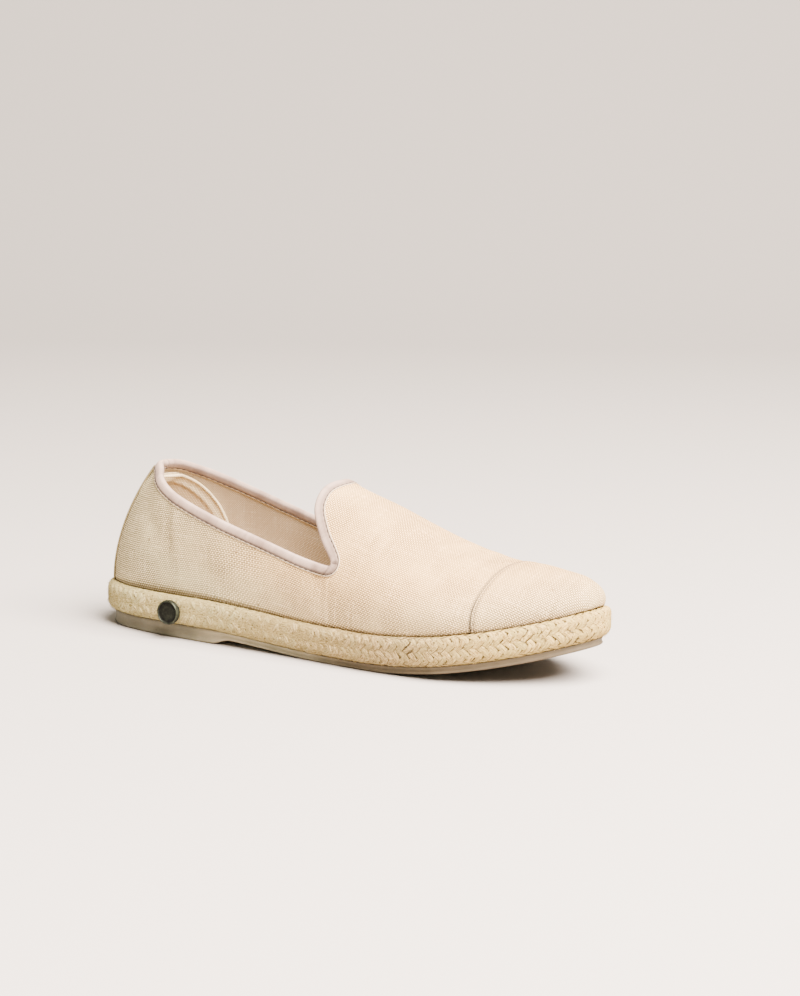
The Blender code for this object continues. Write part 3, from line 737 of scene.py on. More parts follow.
canvasLook = {
    "pitchAlong": 0.70 * mm, "pitchAcross": 0.92 * mm, "depth": 0.26 * mm, "strength": 1.0,
    "warp": sRgb(255, 238, 194), "weft": sRgb(240, 220, 174), "gap": sRgb(70, 72, 46),
    "tint": sRgb(214, 204, 158), "slub": sRgb(255, 242, 206), "fleck": sRgb(70, 48, 28),
    # lit multiplies in painted light, shaded painted shade; seam is the colour of the painted
    # crease shade
    "lit": (1.27, 0.92, 0.66), "shaded": (0.99, 0.93, 0.88), "seam": sRgb(74, 70, 64),
    "flecks": 120, "fleckShare": 0.6, "cloud": 36, "cloudShare": 0.35, "streak": 0.3,
    "litShare": 1.0, "creaseShadeShare": 0.9,
}
canvas = wovenFinish("cotton canvas", canvasLook)
capCanvas = wovenFinish("cap canvas", canvasLook)
liningLook = dict(canvasLook, pitchAlong=0.55 * mm, pitchAcross=0.55 * mm, depth=0.08 * mm,
                  warp=sRgb(206, 186, 156), weft=sRgb(190, 170, 140), gap=sRgb(132, 112, 84),
                  tint=sRgb(176, 154, 124), slub=sRgb(216, 196, 166), flecks=0, litShare=0.0)
lining = wovenFinish("tan lining", liningLook)
# the counter's seam colour is its painted crease shade
counterLook = dict(canvasLook, warp=sRgb(255, 240, 200), weft=sRgb(246, 228, 186),
                   gap=sRgb(176, 152, 114), tint=sRgb(226, 204, 164), seam=sRgb(128, 98, 68),
                   flecks=0, depth=0.12 * mm, litShare=0.0)
counterCanvas = wovenFinish("counter canvas", counterLook)
insoleLook = dict(liningLook, pitchAlong=0.8 * mm, pitchAcross=0.8 * mm)
insoleCanvas = wovenFinish("insole canvas", insoleLook)


def tapeFinish(name, look):
    made = Finish(name, **{"Specular IOR Level": 0.12, "Sheen Weight": 0.05,
                           "Sheen Roughness": 0.5})
    cloth = made.place("cloth")
    along, across = ((part * (math.pi / look["rib"])).sine().size()
                     for part in made.split(cloth)[:2])
    rib = along * across
    cloud = made.noise(cloth, 90, 3)
    wrinkle = made.noise(made.stretch(cloth, (1.0, 0.35, 1.0)), 420, 3)
    colour = made.blend(cloud.between(0.35, 0.7), look["light"], look["dark"])
    colour = made.blend(wrinkle.between(0.55, 0.8) * 0.35, colour, look["shade"])
    # painted shade: the tape darker on its inside half and down its outer face
    colour = made.blend(made.amount("inside"), colour, look["inside"], "MULTIPLY")
    colour = made.blend(made.amount("low"), colour, look["low"], "MULTIPLY")
    # painted highlight along the lip's ridge below the stitches
    colour = made.blend(made.amount("lipHighlight"), colour, look["lipHighlight"])
    # painted shade in the stitch groove and in the slit at the tape's lapped end
    colour = made.blend(made.amount("groove") * 0.9, colour, look["groove"])
    normal = made.bump(rib * 0.3 + wrinkle * 1.6, 0.20 * mm, 0.8)
    return made.finish(Base_Color=colour, Roughness=0.72 + wrinkle * 0.15, Normal=normal)


bindingTape = tapeFinish("binding tape", {
    "rib": 0.35 * mm, "light": sRgb(172, 148, 132), "dark": sRgb(144, 121, 107),
    # lipHighlight is a painted highlight, groove a painted shade
    "shade": sRgb(108, 88, 76), "lipHighlight": sRgb(188, 166, 136), "groove": sRgb(54, 42, 36),
    # inside and low multiply in painted shade
    "inside": (0.76, 0.76, 0.76), "low": (0.57, 0.56, 0.54),
})
bindingThread = threadFinish("binding thread", {
    "light": sRgb(72, 58, 52), "dark": sRgb(40, 32, 28),
})
seamThread = threadFinish("seam thread", {
    "light": sRgb(128, 104, 80), "dark": sRgb(74, 58, 44),
})


def twillFinish():
    made = Finish("olive twill", **{"Specular IOR Level": 0.25, "Sheen Weight": 0.1})
    cloth = made.place("cloth")
    along, across = made.split(cloth)[:2]
    wale = ((along + across) * (math.pi / (0.75 * mm))).sine().size()
    cloud = made.noise(cloth, 120, 3)
    colour = made.blend(wale.between(0.1, 0.8), sRgb(92, 80, 48), sRgb(138, 122, 82))
    colour = made.blend(cloud.between(0.4, 0.7) * 0.5, colour, sRgb(114, 100, 62))
    normal = made.bump(wale, 0.14 * mm, 0.8)
    return made.finish(Base_Color=colour, Roughness=0.88 + cloud * 0.08, Normal=normal)


def juteFinish(name, look):
    # grain holds metres along a strand, metres round it and a number for the strand
    made = Finish(name, **{"Specular IOR Level": 0.08})
    grain = made.place("grain")
    strand = made.split(grain)[2]
    own = made.noise(made.join(strand, 0.5, 0.5), 7.3, 0)
    fibres = made.noise(made.stretch(grain, (320, 3600, 11)), 1.0, 3, 0.65)
    coarse = made.noise(made.stretch(grain, (160, 1300, 7)), 1.0, 2)
    point = made.point()
    cloud = made.noise(point, 38, 3)
    crumbs = made.noise(point, 1100, 3, 0.7)
    mixed = (fibres * 0.7 + crumbs * 0.3).between(0.38, 0.60)
    colour = made.blend(mixed, look["deep"], look["light"])
    colour = made.blend(own.between(0.35, 0.65) * 0.45, colour, look["olive"])
    colour = made.blend(cloud.between(0.45, 0.7) * 0.35, colour, look["warm"])
    spot, chance = made.cells(made.stretch(point, (1.0, 1.0, 1.5)), 560)
    speck = (1 - spot.between(0.10, 0.32)) * chance.between(0.62, 0.68)
    station = made.split(point)[0]
    # painted light: the plait lighter at the toe, and lighter and greener from the heel forward
    colour = made.blend(station.between(0.14, 0.20), colour, look["toe"], "MULTIPLY")
    colour = made.blend(1 - station.between(0.00, 0.14), colour, look["heel"], "MULTIPLY")
    colour = made.blend(speck * 0.85, colour, look["dark"])
    # painted shade in the crevices of the plait, in the same dark as the specks
    edge = made.amount("creviceShade") + (crumbs - 0.5) * 0.9
    colour = made.blend(edge.between(0.38, 0.80) * 0.92, colour, look["dark"])
    pale = (1 - made.cells(point, 700)[0].between(0.15, 0.35)) * crumbs.between(0.5, 0.6)
    colour = made.blend(pale * 0.35, colour, look["pale"])
    normal = made.bump(fibres + coarse * 0.8 + crumbs * 1.6, 0.40 * mm, 1.0)
    return made.finish(Base_Color=colour, Roughness=0.82 + fibres * 0.14, Normal=normal)


juteLook = {
    "light": sRgb(184, 160, 111), "deep": sRgb(106, 86, 51), "olive": sRgb(136, 124, 80),
    "warm": sRgb(150, 124, 76), "dark": sRgb(44, 32, 18), "pale": sRgb(226, 206, 156),
    # toe and heel multiply in painted light
    "toe": (1.42, 1.40, 1.12), "heel": (1.30, 1.50, 1.64),
}
jute = juteFinish("jute plait", juteLook)
# the core is painted darker, as the shade in the gaps between the strands
shadedJuteCore = juteFinish("shaded jute core", dict(juteLook, light=sRgb(170, 146, 94), deep=sRgb(92, 72, 40)))
twill = twillFinish()


def rubberFinish(name, look):
    made = Finish(name, **{"Specular IOR Level": 0.35})
    point = made.point()
    cloud = made.noise(point, 60, 4, 0.6)
    grit = made.noise(point, 1400, 3)
    spot, chance = made.cells(point, 420)
    scuff = made.noise(made.stretch(point, (1.0, 1.0, 5.0)), 180, 4, 0.7)
    colour = made.blend(cloud.between(0.35, 0.68), look["base"], look["dusty"])
    colour = made.blend(scuff.between(0.58, 0.75) * 0.4, colour, look["worn"])
    speck = (1 - spot.between(0.08, 0.2)) * chance.between(0.8, 0.84)
    colour = made.blend(speck * 0.5, colour, look["dark"])
    station = made.split(point)[0]
    # painted light: the rubber lifted much brighter at the waist, where the plait shades it, and
    # lighter and greyer from the heel block to the waist
    waistLight = station.between(0.020, 0.045) * (1 - station.between(0.085, 0.125))
    colour = made.blend(waistLight, colour, look["waistLight"], "MULTIPLY")
    colour = made.blend(1 - station.between(0.085, 0.125), colour, look["heel"], "MULTIPLY")
    normal = made.bump(grit + cloud * 0.6, 0.12 * mm, 0.5)
    return made.finish(Base_Color=colour, Roughness=0.56 + grit * 0.2, Normal=normal)


rubber = rubberFinish("taupe rubber", {
    "base": sRgb(81, 71, 51), "dusty": sRgb(97, 84, 63), "worn": sRgb(114, 96, 73),
    # waistLight and heel multiply in painted light
    "dark": sRgb(42, 35, 26), "waistLight": (2.0, 1.95, 1.85), "heel": (1.36, 1.60, 1.90),
})


def metalFinish(name, look):
    made = Finish(name, **{"Specular IOR Level": 0.08})
    point = made.point()
    recess = made.amount("recess")
    cloud = made.noise(point, 700, 4, 0.6)
    brushed = made.noise(made.stretch(point, (1.0, 1.0, 9.0)), 900, 3)
    rubbed = (cloud + brushed * 0.5).between(0.55, 0.95)
    colour = made.blend(rubbed, look["dark"], look["bright"])
    colour = made.blend(recess * (1 - rubbed * 0.12), colour, look["patina"])
    normal = made.bump(cloud + brushed * 0.5, 0.05 * mm, 0.5)
    return made.finish(Base_Color=colour, Metallic=0.85 - recess * 0.8,
                       Roughness=0.36 + recess * 0.3 + cloud * 0.1, Normal=normal)


brass = metalFinish("aged brass", {
    "bright": sRgb(66, 70, 58), "dark": sRgb(36, 38, 30), "patina": sRgb(10, 10, 8),
})
print("stage: finishes made")


# Upper: quarters round the heel, vamp over the ridge, and the part under the cap

upperSpec = {
    "lowRows": 26, "highRows": 40, "heelColumns": 112, "vampColumns": 78, "hiddenColumns": 10,
    "cloth": 0.9 * mm, "crowding": 1.5, "sheetGap": 0.05 * mm, "footShade": 1.0 * mm,
    "seamShade": 0.6 * mm, "seamPart": 0.4 * mm,
}


def highClimbs(low, rows, crowding=upperSpec["crowding"]):
    return low + (1 - low) * np.linspace(0, 1, rows) ** crowding


def throatTurn(low, climb):
    return throatTurnOf((climb - low) / (1 - low))


# Painted shade along the cloth's foot, where it meets the plait
def footShade(points):
    height = points[..., 2] - ropeTop(points[..., 0])
    return hump(np.maximum(height, 0), upperSpec["footShade"])


def quarterSheet(side, face, back):
    # Columns from the low corner back to the heel's middle
    spec = upperSpec
    turn, low = lowCorner(side)
    turns = turn * (1 - (1 - np.linspace(0, 1, spec["heelColumns"])) ** 1.1)
    tops = climbFor(side, turns, collarHeight(turns))
    tops[-1] = low
    grid = np.broadcast_to(turns[:, None], (len(turns), spec["lowRows"]))
    climbs = tops[:, None] * np.linspace(0, 1, spec["lowRows"])
    front = skinPoint(side, grid, climbs, face)
    rear = skinPoint(side, grid, climbs, back)
    return front, rear, clothLie(side, grid, climbs), footShade(front)


def seamTurns(side, climbs, past):
    # Turns where the cap's seam lies at each climb, or a little past it
    x = shoe["capSeam"] - shoe["heelSeat"] + past
    return np.array([turnForStation(side, climb, x) for climb in climbs])


def upperClimbs(low):
    return np.concatenate([low * np.linspace(0, 1, upperSpec["lowRows"]),
                           highClimbs(low, upperSpec["highRows"])[1:]])


def vampGrid(starts, ends, columns):
    share = np.linspace(0, 1, columns)[:, None]
    return starts + (ends - starts) * share


def vampSheet(side, face, back):
    spec = upperSpec
    turn, low = lowCorner(side)
    climbs = upperClimbs(low)
    start = np.where(climbs <= low, turn, throatTurn(low, np.maximum(climbs, low)))
    seam, under = (seamTurns(side, climbs, way * spec["seamPart"]) for way in (-1, 1))
    turns = np.concatenate([vampGrid(start, seam, spec["vampColumns"]),
                            vampGrid(under, math.pi, spec["hiddenColumns"])])
    drop = np.concatenate([np.zeros(spec["vampColumns"]),
                           np.full(spec["hiddenColumns"], shoe["capRecess"])])[:, None]
    climbs = np.broadcast_to(climbs, turns.shape)
    drop = np.broadcast_to(drop, turns.shape)
    front = skinPoint(side, turns, climbs, face + drop)
    # painted shade on the vamp along the cap's edge
    creaseShade = hump(fromBack(front[..., 0]) - shoe["capSeam"], spec["seamShade"])
    return (front, skinPoint(side, turns, climbs, back + drop), clothLie(side, turns, climbs),
            np.maximum(footShade(front), creaseShade))


def turned(sheet, side):
    # The inner side's grid runs the other way round, so its columns are reversed
    if side == outer:
        return sheet
    return tuple(part[::-1] if np.ndim(part) else part for part in sheet)


def buildUpper(name, face, back, finish):
    sheets = []
    for side in (outer, inner):
        sheets.append(turned(quarterSheet(side, face, back), side))
        sheets.append(turned(vampSheet(side, face, back), side))
    return shellPiece(name, sheets, finish)


canvasUpper = buildUpper("canvasUpper", 0.0, -upperSpec["cloth"], canvas)
liningFace = -upperSpec["cloth"] - upperSpec["sheetGap"]
liningCloth = buildUpper("liningCloth", liningFace, -shoe["wall"], lining)
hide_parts("upper")
print("stage: upper made")


# Toe cap: the second layer of canvas with its folded edge and one row of stitches

capSpec = {
    "columns": 52, "crowding": 1.7, "thickness": 0.9 * mm, "fold": 0.5 * mm, "tuckIn": 1.0 * mm,
    "seamInset": 1.6 * mm, "groove": 0.24 * mm, "grooveWidth": 0.5 * mm, "ridge": 0.12 * mm,
    "ridgeWidth": 1.0 * mm, "edgeShade": 0.7 * mm,
    "stitch": {"pitch": 2.3 * mm, "length": 1.55 * mm, "width": 0.34 * mm, "rise": 0.00002},
}


def capSheet(side):
    climbs = upperClimbs(lowCorner(side)[1])
    seam = seamTurns(side, climbs, 0.0002)
    s = capSpec
    share = np.linspace(0, 1, s["columns"])[:, None] ** s["crowding"]
    turns = seam + (math.pi - seam) * share
    climbs = np.broadcast_to(climbs, turns.shape)
    past = fromBack(lastPoint(side, turns, climbs)[..., 0]) - shoe["capSeam"]
    offSeam = past - s["seamInset"]
    lift = shoe["capStep"] - s["tuckIn"] * (1 - np.clip(past / s["fold"], 0, 1) ** 0.5)
    lift = lift - s["groove"] * hump(offSeam, s["grooveWidth"])
    lift = lift + s["ridge"] * hump(offSeam - s["seamInset"], s["ridgeWidth"])
    front = skinPoint(side, turns, climbs, lift)
    under = shoe["capStep"] - s["thickness"]
    back = skinPoint(side, turns, climbs, np.full(turns.shape, under))
    # painted shade in the cap's stitch groove and along its folded edge
    creaseShade = 0.5 * hump(offSeam, s["grooveWidth"]) + 1.5 * hump(past, s["edgeShade"])
    creaseShade = np.clip(np.maximum(creaseShade, footShade(front)), 0, 1)
    return front, back, clothLie(side, turns, climbs), creaseShade


toeCap = shellPiece("toeCapCanvas", [turned(capSheet(side), side) for side in (outer, inner)],
                    capCanvas)
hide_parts("toe_cap")


def surfaceLine(side, turns, climbs, out):
    return skinPoint(side, turns, climbs, out), lastFrame(side, turns, climbs)[2]


def joinedLine(place, innerOrder):
    # Points and normals along the outer side and back along the inner side
    first, second = place(outer), place(inner)
    return [np.concatenate([a, b[innerOrder]]) for a, b in zip(first, second)]


def capStitchLine(side):
    climbs = np.linspace(0.015, 1.0, 90)
    turns = seamTurns(side, climbs, capSpec["seamInset"])
    depth = np.full(len(climbs), shoe["capStep"] - capSpec["groove"])
    return surfaceLine(side, turns, climbs, depth)


capLine = joinedLine(capStitchLine, slice(-2, None, -1))
capStitches = stitchRow("capStitches", *capLine, capSpec["stitch"], seamThread)
print("stage: toe cap made")


# Binding: tape folded over the collar's edge, with a lip below its row of stitches

tapeSpec = {
    "width": 3.3 * mm, "swell": 0.76 * mm, "seam": 2.65 * mm, "insideSeam": 2.6 * mm,
    "points": 300, "evening": 12, "cloth": 0.04 * mm, "unevenness": 0.09 * mm,
    "wider": 0.06, "widerFrom": -26 * mm, "widerOver": 20 * mm,
    "overlap": 0.70 * mm, "overlapFrom": -9 * mm, "overlapOver": 4 * mm, "overlapEnd": -0.3 * mm,
    "slant": 0.9, "step": 0.5 * mm, "tuck": 3.4 * mm, "tuckWidth": 0.55 * mm,
    "tuckReach": 2.0 * mm, "tuckDepth": 0.40 * mm,
    "shadow": 0.75, "shadowAt": 0.55 * mm, "shadowWidth": 0.40 * mm,
    "stitch": {"pitch": 2.9 * mm, "length": 2.15 * mm, "width": 0.52 * mm, "rise": 0.00018},
}


def collarRoute(side):
    # Turn and climb of the edge from the heel's middle to the tongue's top, evened out
    lowTurn, low = lowCorner(side)
    back = lowTurn * np.linspace(0, 1, 90)
    tops = climbFor(side, back, collarHeight(back))
    climbs = highClimbs(low, 70)[1:]
    turns = np.concatenate([back, throatTurn(low, climbs)])
    climbs = np.concatenate([tops, climbs])
    run = lineLengths(lastPoint(side, turns, climbs))
    even = np.linspace(0, run[-1], tapeSpec["points"])
    turns, climbs = np.interp(even, run, turns), np.interp(even, run, climbs)
    for _ in range(tapeSpec["evening"]):
        turns[1:-1] = (turns[:-2] + 2 * turns[1:-1] + turns[2:]) / 4
        climbs[1:-1] = (climbs[:-2] + 2 * climbs[1:-1] + climbs[2:]) / 4
    return turns, climbs


def tapeSection():
    # Depth below the edge and place out from the canvas, from the outer lip over the
    # fold to the inner lip, then back along the cloth
    s, wall, w = tapeSpec, shoe["wall"], tapeSpec["width"]
    rows = [(w, 0.04 * mm), (w + 0.10 * mm, 0.26 * mm), (w - 0.12 * mm, 0.50 * mm),
            (s["seam"] + 0.22 * mm, 0.44 * mm), (s["seam"], 0.18 * mm),
            (s["seam"] - 0.3 * mm, 0.46 * mm), (s["seam"] - 0.8 * mm, 0.76 * mm),
            (w * 0.5, s["swell"]), (w * 0.25, s["swell"] * 1.02), (0.10 * mm, s["swell"] * 0.92)]
    radius = wall / 2 + s["swell"] * 0.92
    for angle in np.linspace(70, -70, 8):
        rows.append((-radius * math.cos(math.radians(angle)),
                     -wall / 2 + radius * math.sin(math.radians(angle))))
    q = s["insideSeam"]
    rows += [(0.10 * mm, -wall - s["swell"] * 0.88), (q * 0.45, -wall - s["swell"] * 0.80),
             (q * 0.75, -wall - 0.58 * mm), (q - 0.2 * mm, -wall - 0.34 * mm),
             (q + 0.05 * mm, -wall - 0.24 * mm), (q + 0.35 * mm, -wall - 0.46 * mm),
             (q + 0.75 * mm, -wall - 0.40 * mm), (q + 0.85 * mm, -wall - 0.04 * mm),
             (q * 0.5, -wall - 0.04 * mm), (0.2 * mm, -wall - 0.04 * mm),
             (-0.25 * mm, -wall / 2), (0.2 * mm, 0.04 * mm), (w * 0.5, 0.04 * mm)]
    return rows


def tapeRails():
    s, wall = tapeSpec, shoe["wall"]
    rails, walks, slitShades = [], [], []
    for side in (outer, inner):
        turn, climb = collarRoute(side)
        edge = lastPoint(side, turn, climb)
        normal = lastFrame(side, turn, climb)[2]
        ahead = np.gradient(edge, axis=0)
        ahead[0] = (0, ahead[0, 1], 0)
        ahead[-1] = (0, ahead[-1, 1], 0)
        ahead = unit(ahead)
        inward = unit(np.cross(normal, ahead) * side)
        run = lineLengths(edge)
        rail = []
        corner = np.argmin(np.abs(turn - collarTurns[-1]) + np.abs(climb - lowCorner(side)[1]))
        past = run - run[corner]
        soft = s["unevenness"] * np.sin(run / 0.0113 + side) * np.sin(run / 0.0047 + 1.0)
        wide = 1 + s["wider"] * ease((past - s["widerFrom"]) / s["widerOver"])
        slitShade = []
        for depth, out in tapeSection():
            # the tape's end lies on top, cut aslant, with a tuck in the tape beyond it
            end = past - s["overlapEnd"] + s["slant"] * max(depth, 0)
            fold = s["overlap"] * (1 - ease(end / s["step"]))
            fold = fold * ease((past - s["overlapFrom"]) / s["overlapOver"])
            tuck = hump(past - s["tuck"], s["tuckWidth"]) * (0 < depth < s["tuckReach"])
            fold = fold - s["tuckDepth"] * tuck
            shadow = s["shadow"] * hump(end - s["shadowAt"], s["shadowWidth"])
            slitShade.append(np.maximum(shadow, tuck))
            place = np.full(len(turn), out)
            middle = out + wall / 2
            puff = np.clip((abs(middle) - wall / 2) / s["swell"], 0, 1)
            place = place + np.sign(middle) * (soft + fold) * puff
            if depth > 0:
                walked = slide(side, turn, climb, inward * depth * wide[:, None])
                rail.append(skinPoint(side, *walked, place))
            else:
                rail.append(edge + inward * depth + normal * place[:, None])
        rails.append(np.stack(rail, 1))
        walks.append((turn, climb, inward * wide[:, None]))
        slitShades.append(np.stack(slitShade, 1))
    return rails, walks, slitShades


rails, tapeWalks, slitShades = tapeRails()
loop = np.concatenate([rails[0], rails[1][::-1][1:-1]])
section = loop.shape[1]
across = lineLengths(loop.mean(0))
around = lineLengths(loop[:, 12])
lie = stacked(around[:, None], across[None, :], 0.0)
ringFaces = gridFaces(len(loop), section, closed=True)
here = np.arange(len(loop)) * section
beyond = np.roll(here, -1)
last = np.stack([here + section - 1, beyond + section - 1, beyond, here], -1)
tapeDepths, tapeOuts = np.array(tapeSection()).T
outside = tapeOuts > -shoe["wall"] / 2
seamDepths = np.where(outside, tapeSpec["seam"], tapeSpec["insideSeam"])
# painted shade down the tape's outer face
lowShare = ease((tapeDepths - 0.3 * mm) / (2.0 * mm)) * outside
# painted highlight on the lip below the seam
lipHighlightShare = ease((tapeDepths - seamDepths - 0.10 * mm) / (0.12 * mm))
# painted shade at the seam's groove, and at the lapped end's slit and tuck
grooveShadeShare = hump(tapeDepths - seamDepths, 0.18 * mm)
slitShadeShare = np.concatenate([slitShades[0], slitShades[1][::-1][1:-1]]) * outside[None, :]
grooveShadeShare = np.maximum(grooveShadeShare[None, :], slitShadeShare)
binding = makePiece("collarTape", loop.reshape(-1, 3), [ringFaces, last], bindingTape,
                    {"cloth": lie.reshape(-1, 3), "lipHighlight": np.tile(lipHighlightShare, len(loop)),
                     "groove": grooveShadeShare.reshape(-1),
                     "low": np.tile(lowShare, len(loop)),
                     "inside": np.tile(1.0 - outside, len(loop))}, tightWeld)
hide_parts("collar_binding")


def tapeSeam(depth, out):
    def seamLine(side):
        turn, climb, inward = tapeWalks[0 if side == outer else 1]
        walked = slide(side, turn, climb, inward * depth)
        return surfaceLine(side, *walked, np.full(len(turn), out))
    return joinedLine(seamLine, slice(-2, 0, -1))


outerSeam, outerNormals = tapeSeam(tapeSpec["seam"], 0.26 * mm)
innerSeam, innerNormals = tapeSeam(tapeSpec["insideSeam"], -shoe["wall"] - 0.26 * mm)
tapeStitches = stitchRow("tapeStitches", outerSeam, outerNormals, tapeSpec["stitch"],
                         bindingThread)
tapeStitchesInside = stitchRow("tapeStitchesInside", innerSeam, -innerNormals,
                               tapeSpec["stitch"], bindingThread)
print("stage: binding made")


# Rope sole: plaited strands over a core painted darker as the shade between them, and the hairs
# that stand off it

ropeSpec = {
    "pitch": 4.1 * mm, "rows": 6, "rowStep": 3.3 * mm, "firstRow": 1.5 * mm, "slope": 42,
    "strandLength": 8.6 * mm, "strandWidth": 3.5 * mm, "strandThickness": 1.0 * mm,
    "bury": 0.62 * mm, "dive": 0.24 * mm, "tilt": 0.26 * mm, "rings": 11, "sides": 12,
    "bend": 0.10, "squareness": 0.75, "looseDrop": 0.16 * mm, "margin": 0.2 * mm,
    "looseUntil": 0.125, "looseFade": 0.085, "cutBack": 0.52 * mm, "looseBulk": 0.34 * mm,
    "brim": 0.25 * mm, "roughness": 0.07 * mm, "lengthSpread": 0.05, "widthSpread": 0.10,
    "looseNarrow": 0.10,
    # spread where the plait is clear, and how much more where it is loose
    "runSpread": (0.14 * mm, 0.22 * mm), "leanSpread": (5, 5),
    "dropSpread": (0.10 * mm, 0.14 * mm), "liftSpread": (0.05 * mm, 0.04 * mm),
}
# Side of the rope from the upper's foot out over its top edge, down and under: inset, height
ropeSide = [
    (5.2, 12.9), (4.0, 13.1), (3.0, 13.1), (2.1, 12.85), (1.3, 12.3), (0.7, 11.3), (0.42, 9.9),
    (0.35, 8.2), (0.35, 6.4), (0.40, 4.6), (0.55, 3.2), (0.95, 2.0), (1.7, 0.95), (2.7, 0.35),
    (3.9, 0.15), (5.0, 0.1),
]


def soleLine():
    # Once round the sole: heel, outer side, toe, inner side
    fine = np.linspace(0, math.pi, 900)
    turns = np.concatenate([fine, fine[::-1][1:]])
    sides = np.concatenate([np.full(len(fine), outer), np.full(len(fine) - 1, inner)])
    xo, yo = planPoint(outer, fine)
    xi, yi = planPoint(inner, fine)
    x = np.concatenate([xo, xi[::-1][1:]])
    y = np.concatenate([yo, yi[::-1][1:]])
    run = np.concatenate([[0], np.cumsum(np.hypot(np.diff(x), np.diff(y)))])
    return turns, sides, x, y, run


soleTurns, soleSides, soleX, soleY, soleRun = soleLine()
sidePath = np.array(ropeSide) * mm
sideRun = lineLengths(sidePath)


def ropePoint(run, drop, out):
    # Point at a run round the sole and a drop over its side, and out from it
    run = np.mod(run, soleRun[-1])
    x, y = np.interp(run, soleRun, soleX), np.interp(run, soleRun, soleY)
    step = 0.4 * mm
    before, after = np.mod(run - step, soleRun[-1]), np.mod(run + step, soleRun[-1])
    tx = np.interp(after, soleRun, soleX) - np.interp(before, soleRun, soleX)
    ty = np.interp(after, soleRun, soleY) - np.interp(before, soleRun, soleY)
    length = np.hypot(tx, ty)
    nx, ny = ty / length, -tx / length
    inset = np.interp(drop, sideRun, sidePath[:, 0])
    height = np.interp(drop, sideRun, sidePath[:, 1])
    d = 0.5 * mm
    di, dh = (np.interp(drop + d, sideRun, line) - np.interp(drop - d, sideRun, line)
              for line in sidePath.T)
    bend = np.hypot(di, dh)
    outI, outH = dh / bend, -di / bend
    inset = inset + outI * out
    height = height + outH * out
    px, py = x - nx * inset, y - ny * inset
    return np.stack([px, py, ropeBottom(px) + height], -1)


def looseness(x):
    # The plait is packed and furry at the heel and waist, and clear at the toe
    return 1 - ease((fromBack(x) - ropeSpec["looseUntil"]) / ropeSpec["looseFade"])


def ropeCore():
    runs = np.linspace(0, soleRun[-1], 721)[:-1]
    drops = np.linspace(0, sideRun[-1], 34)
    x = np.interp(runs, soleRun, soleX)
    loose = looseness(x)
    s = ropeSpec
    bulk = s["looseBulk"] * loose[:, None] - s["cutBack"]
    bulk = bulk + s["brim"] * hump(drops - 1.0 * mm, 2.0 * mm)
    rough = dice.normal(0, s["roughness"], (len(runs), len(drops)))
    points = ropePoint(runs[:, None], drops[None, :], bulk + rough)
    columns, rows = points.shape[:2]
    faces = [gridFaces(columns, rows, closed=True), plateFaces(columns, rows, 0, False),
             plateFaces(columns, rows, rows - 1, True)]
    grain = stacked(runs[:, None], drops[None, :], 3.0)
    # painted crevice shade over the whole core, deeper where the plait is clear
    marks = {"grain": grain.reshape(-1, 3), "creviceShade": np.repeat(0.62 - 0.27 * loose, rows)}
    return makePiece("ropeCore", points.reshape(-1, 3), faces, shadedJuteCore, marks, tightWeld)


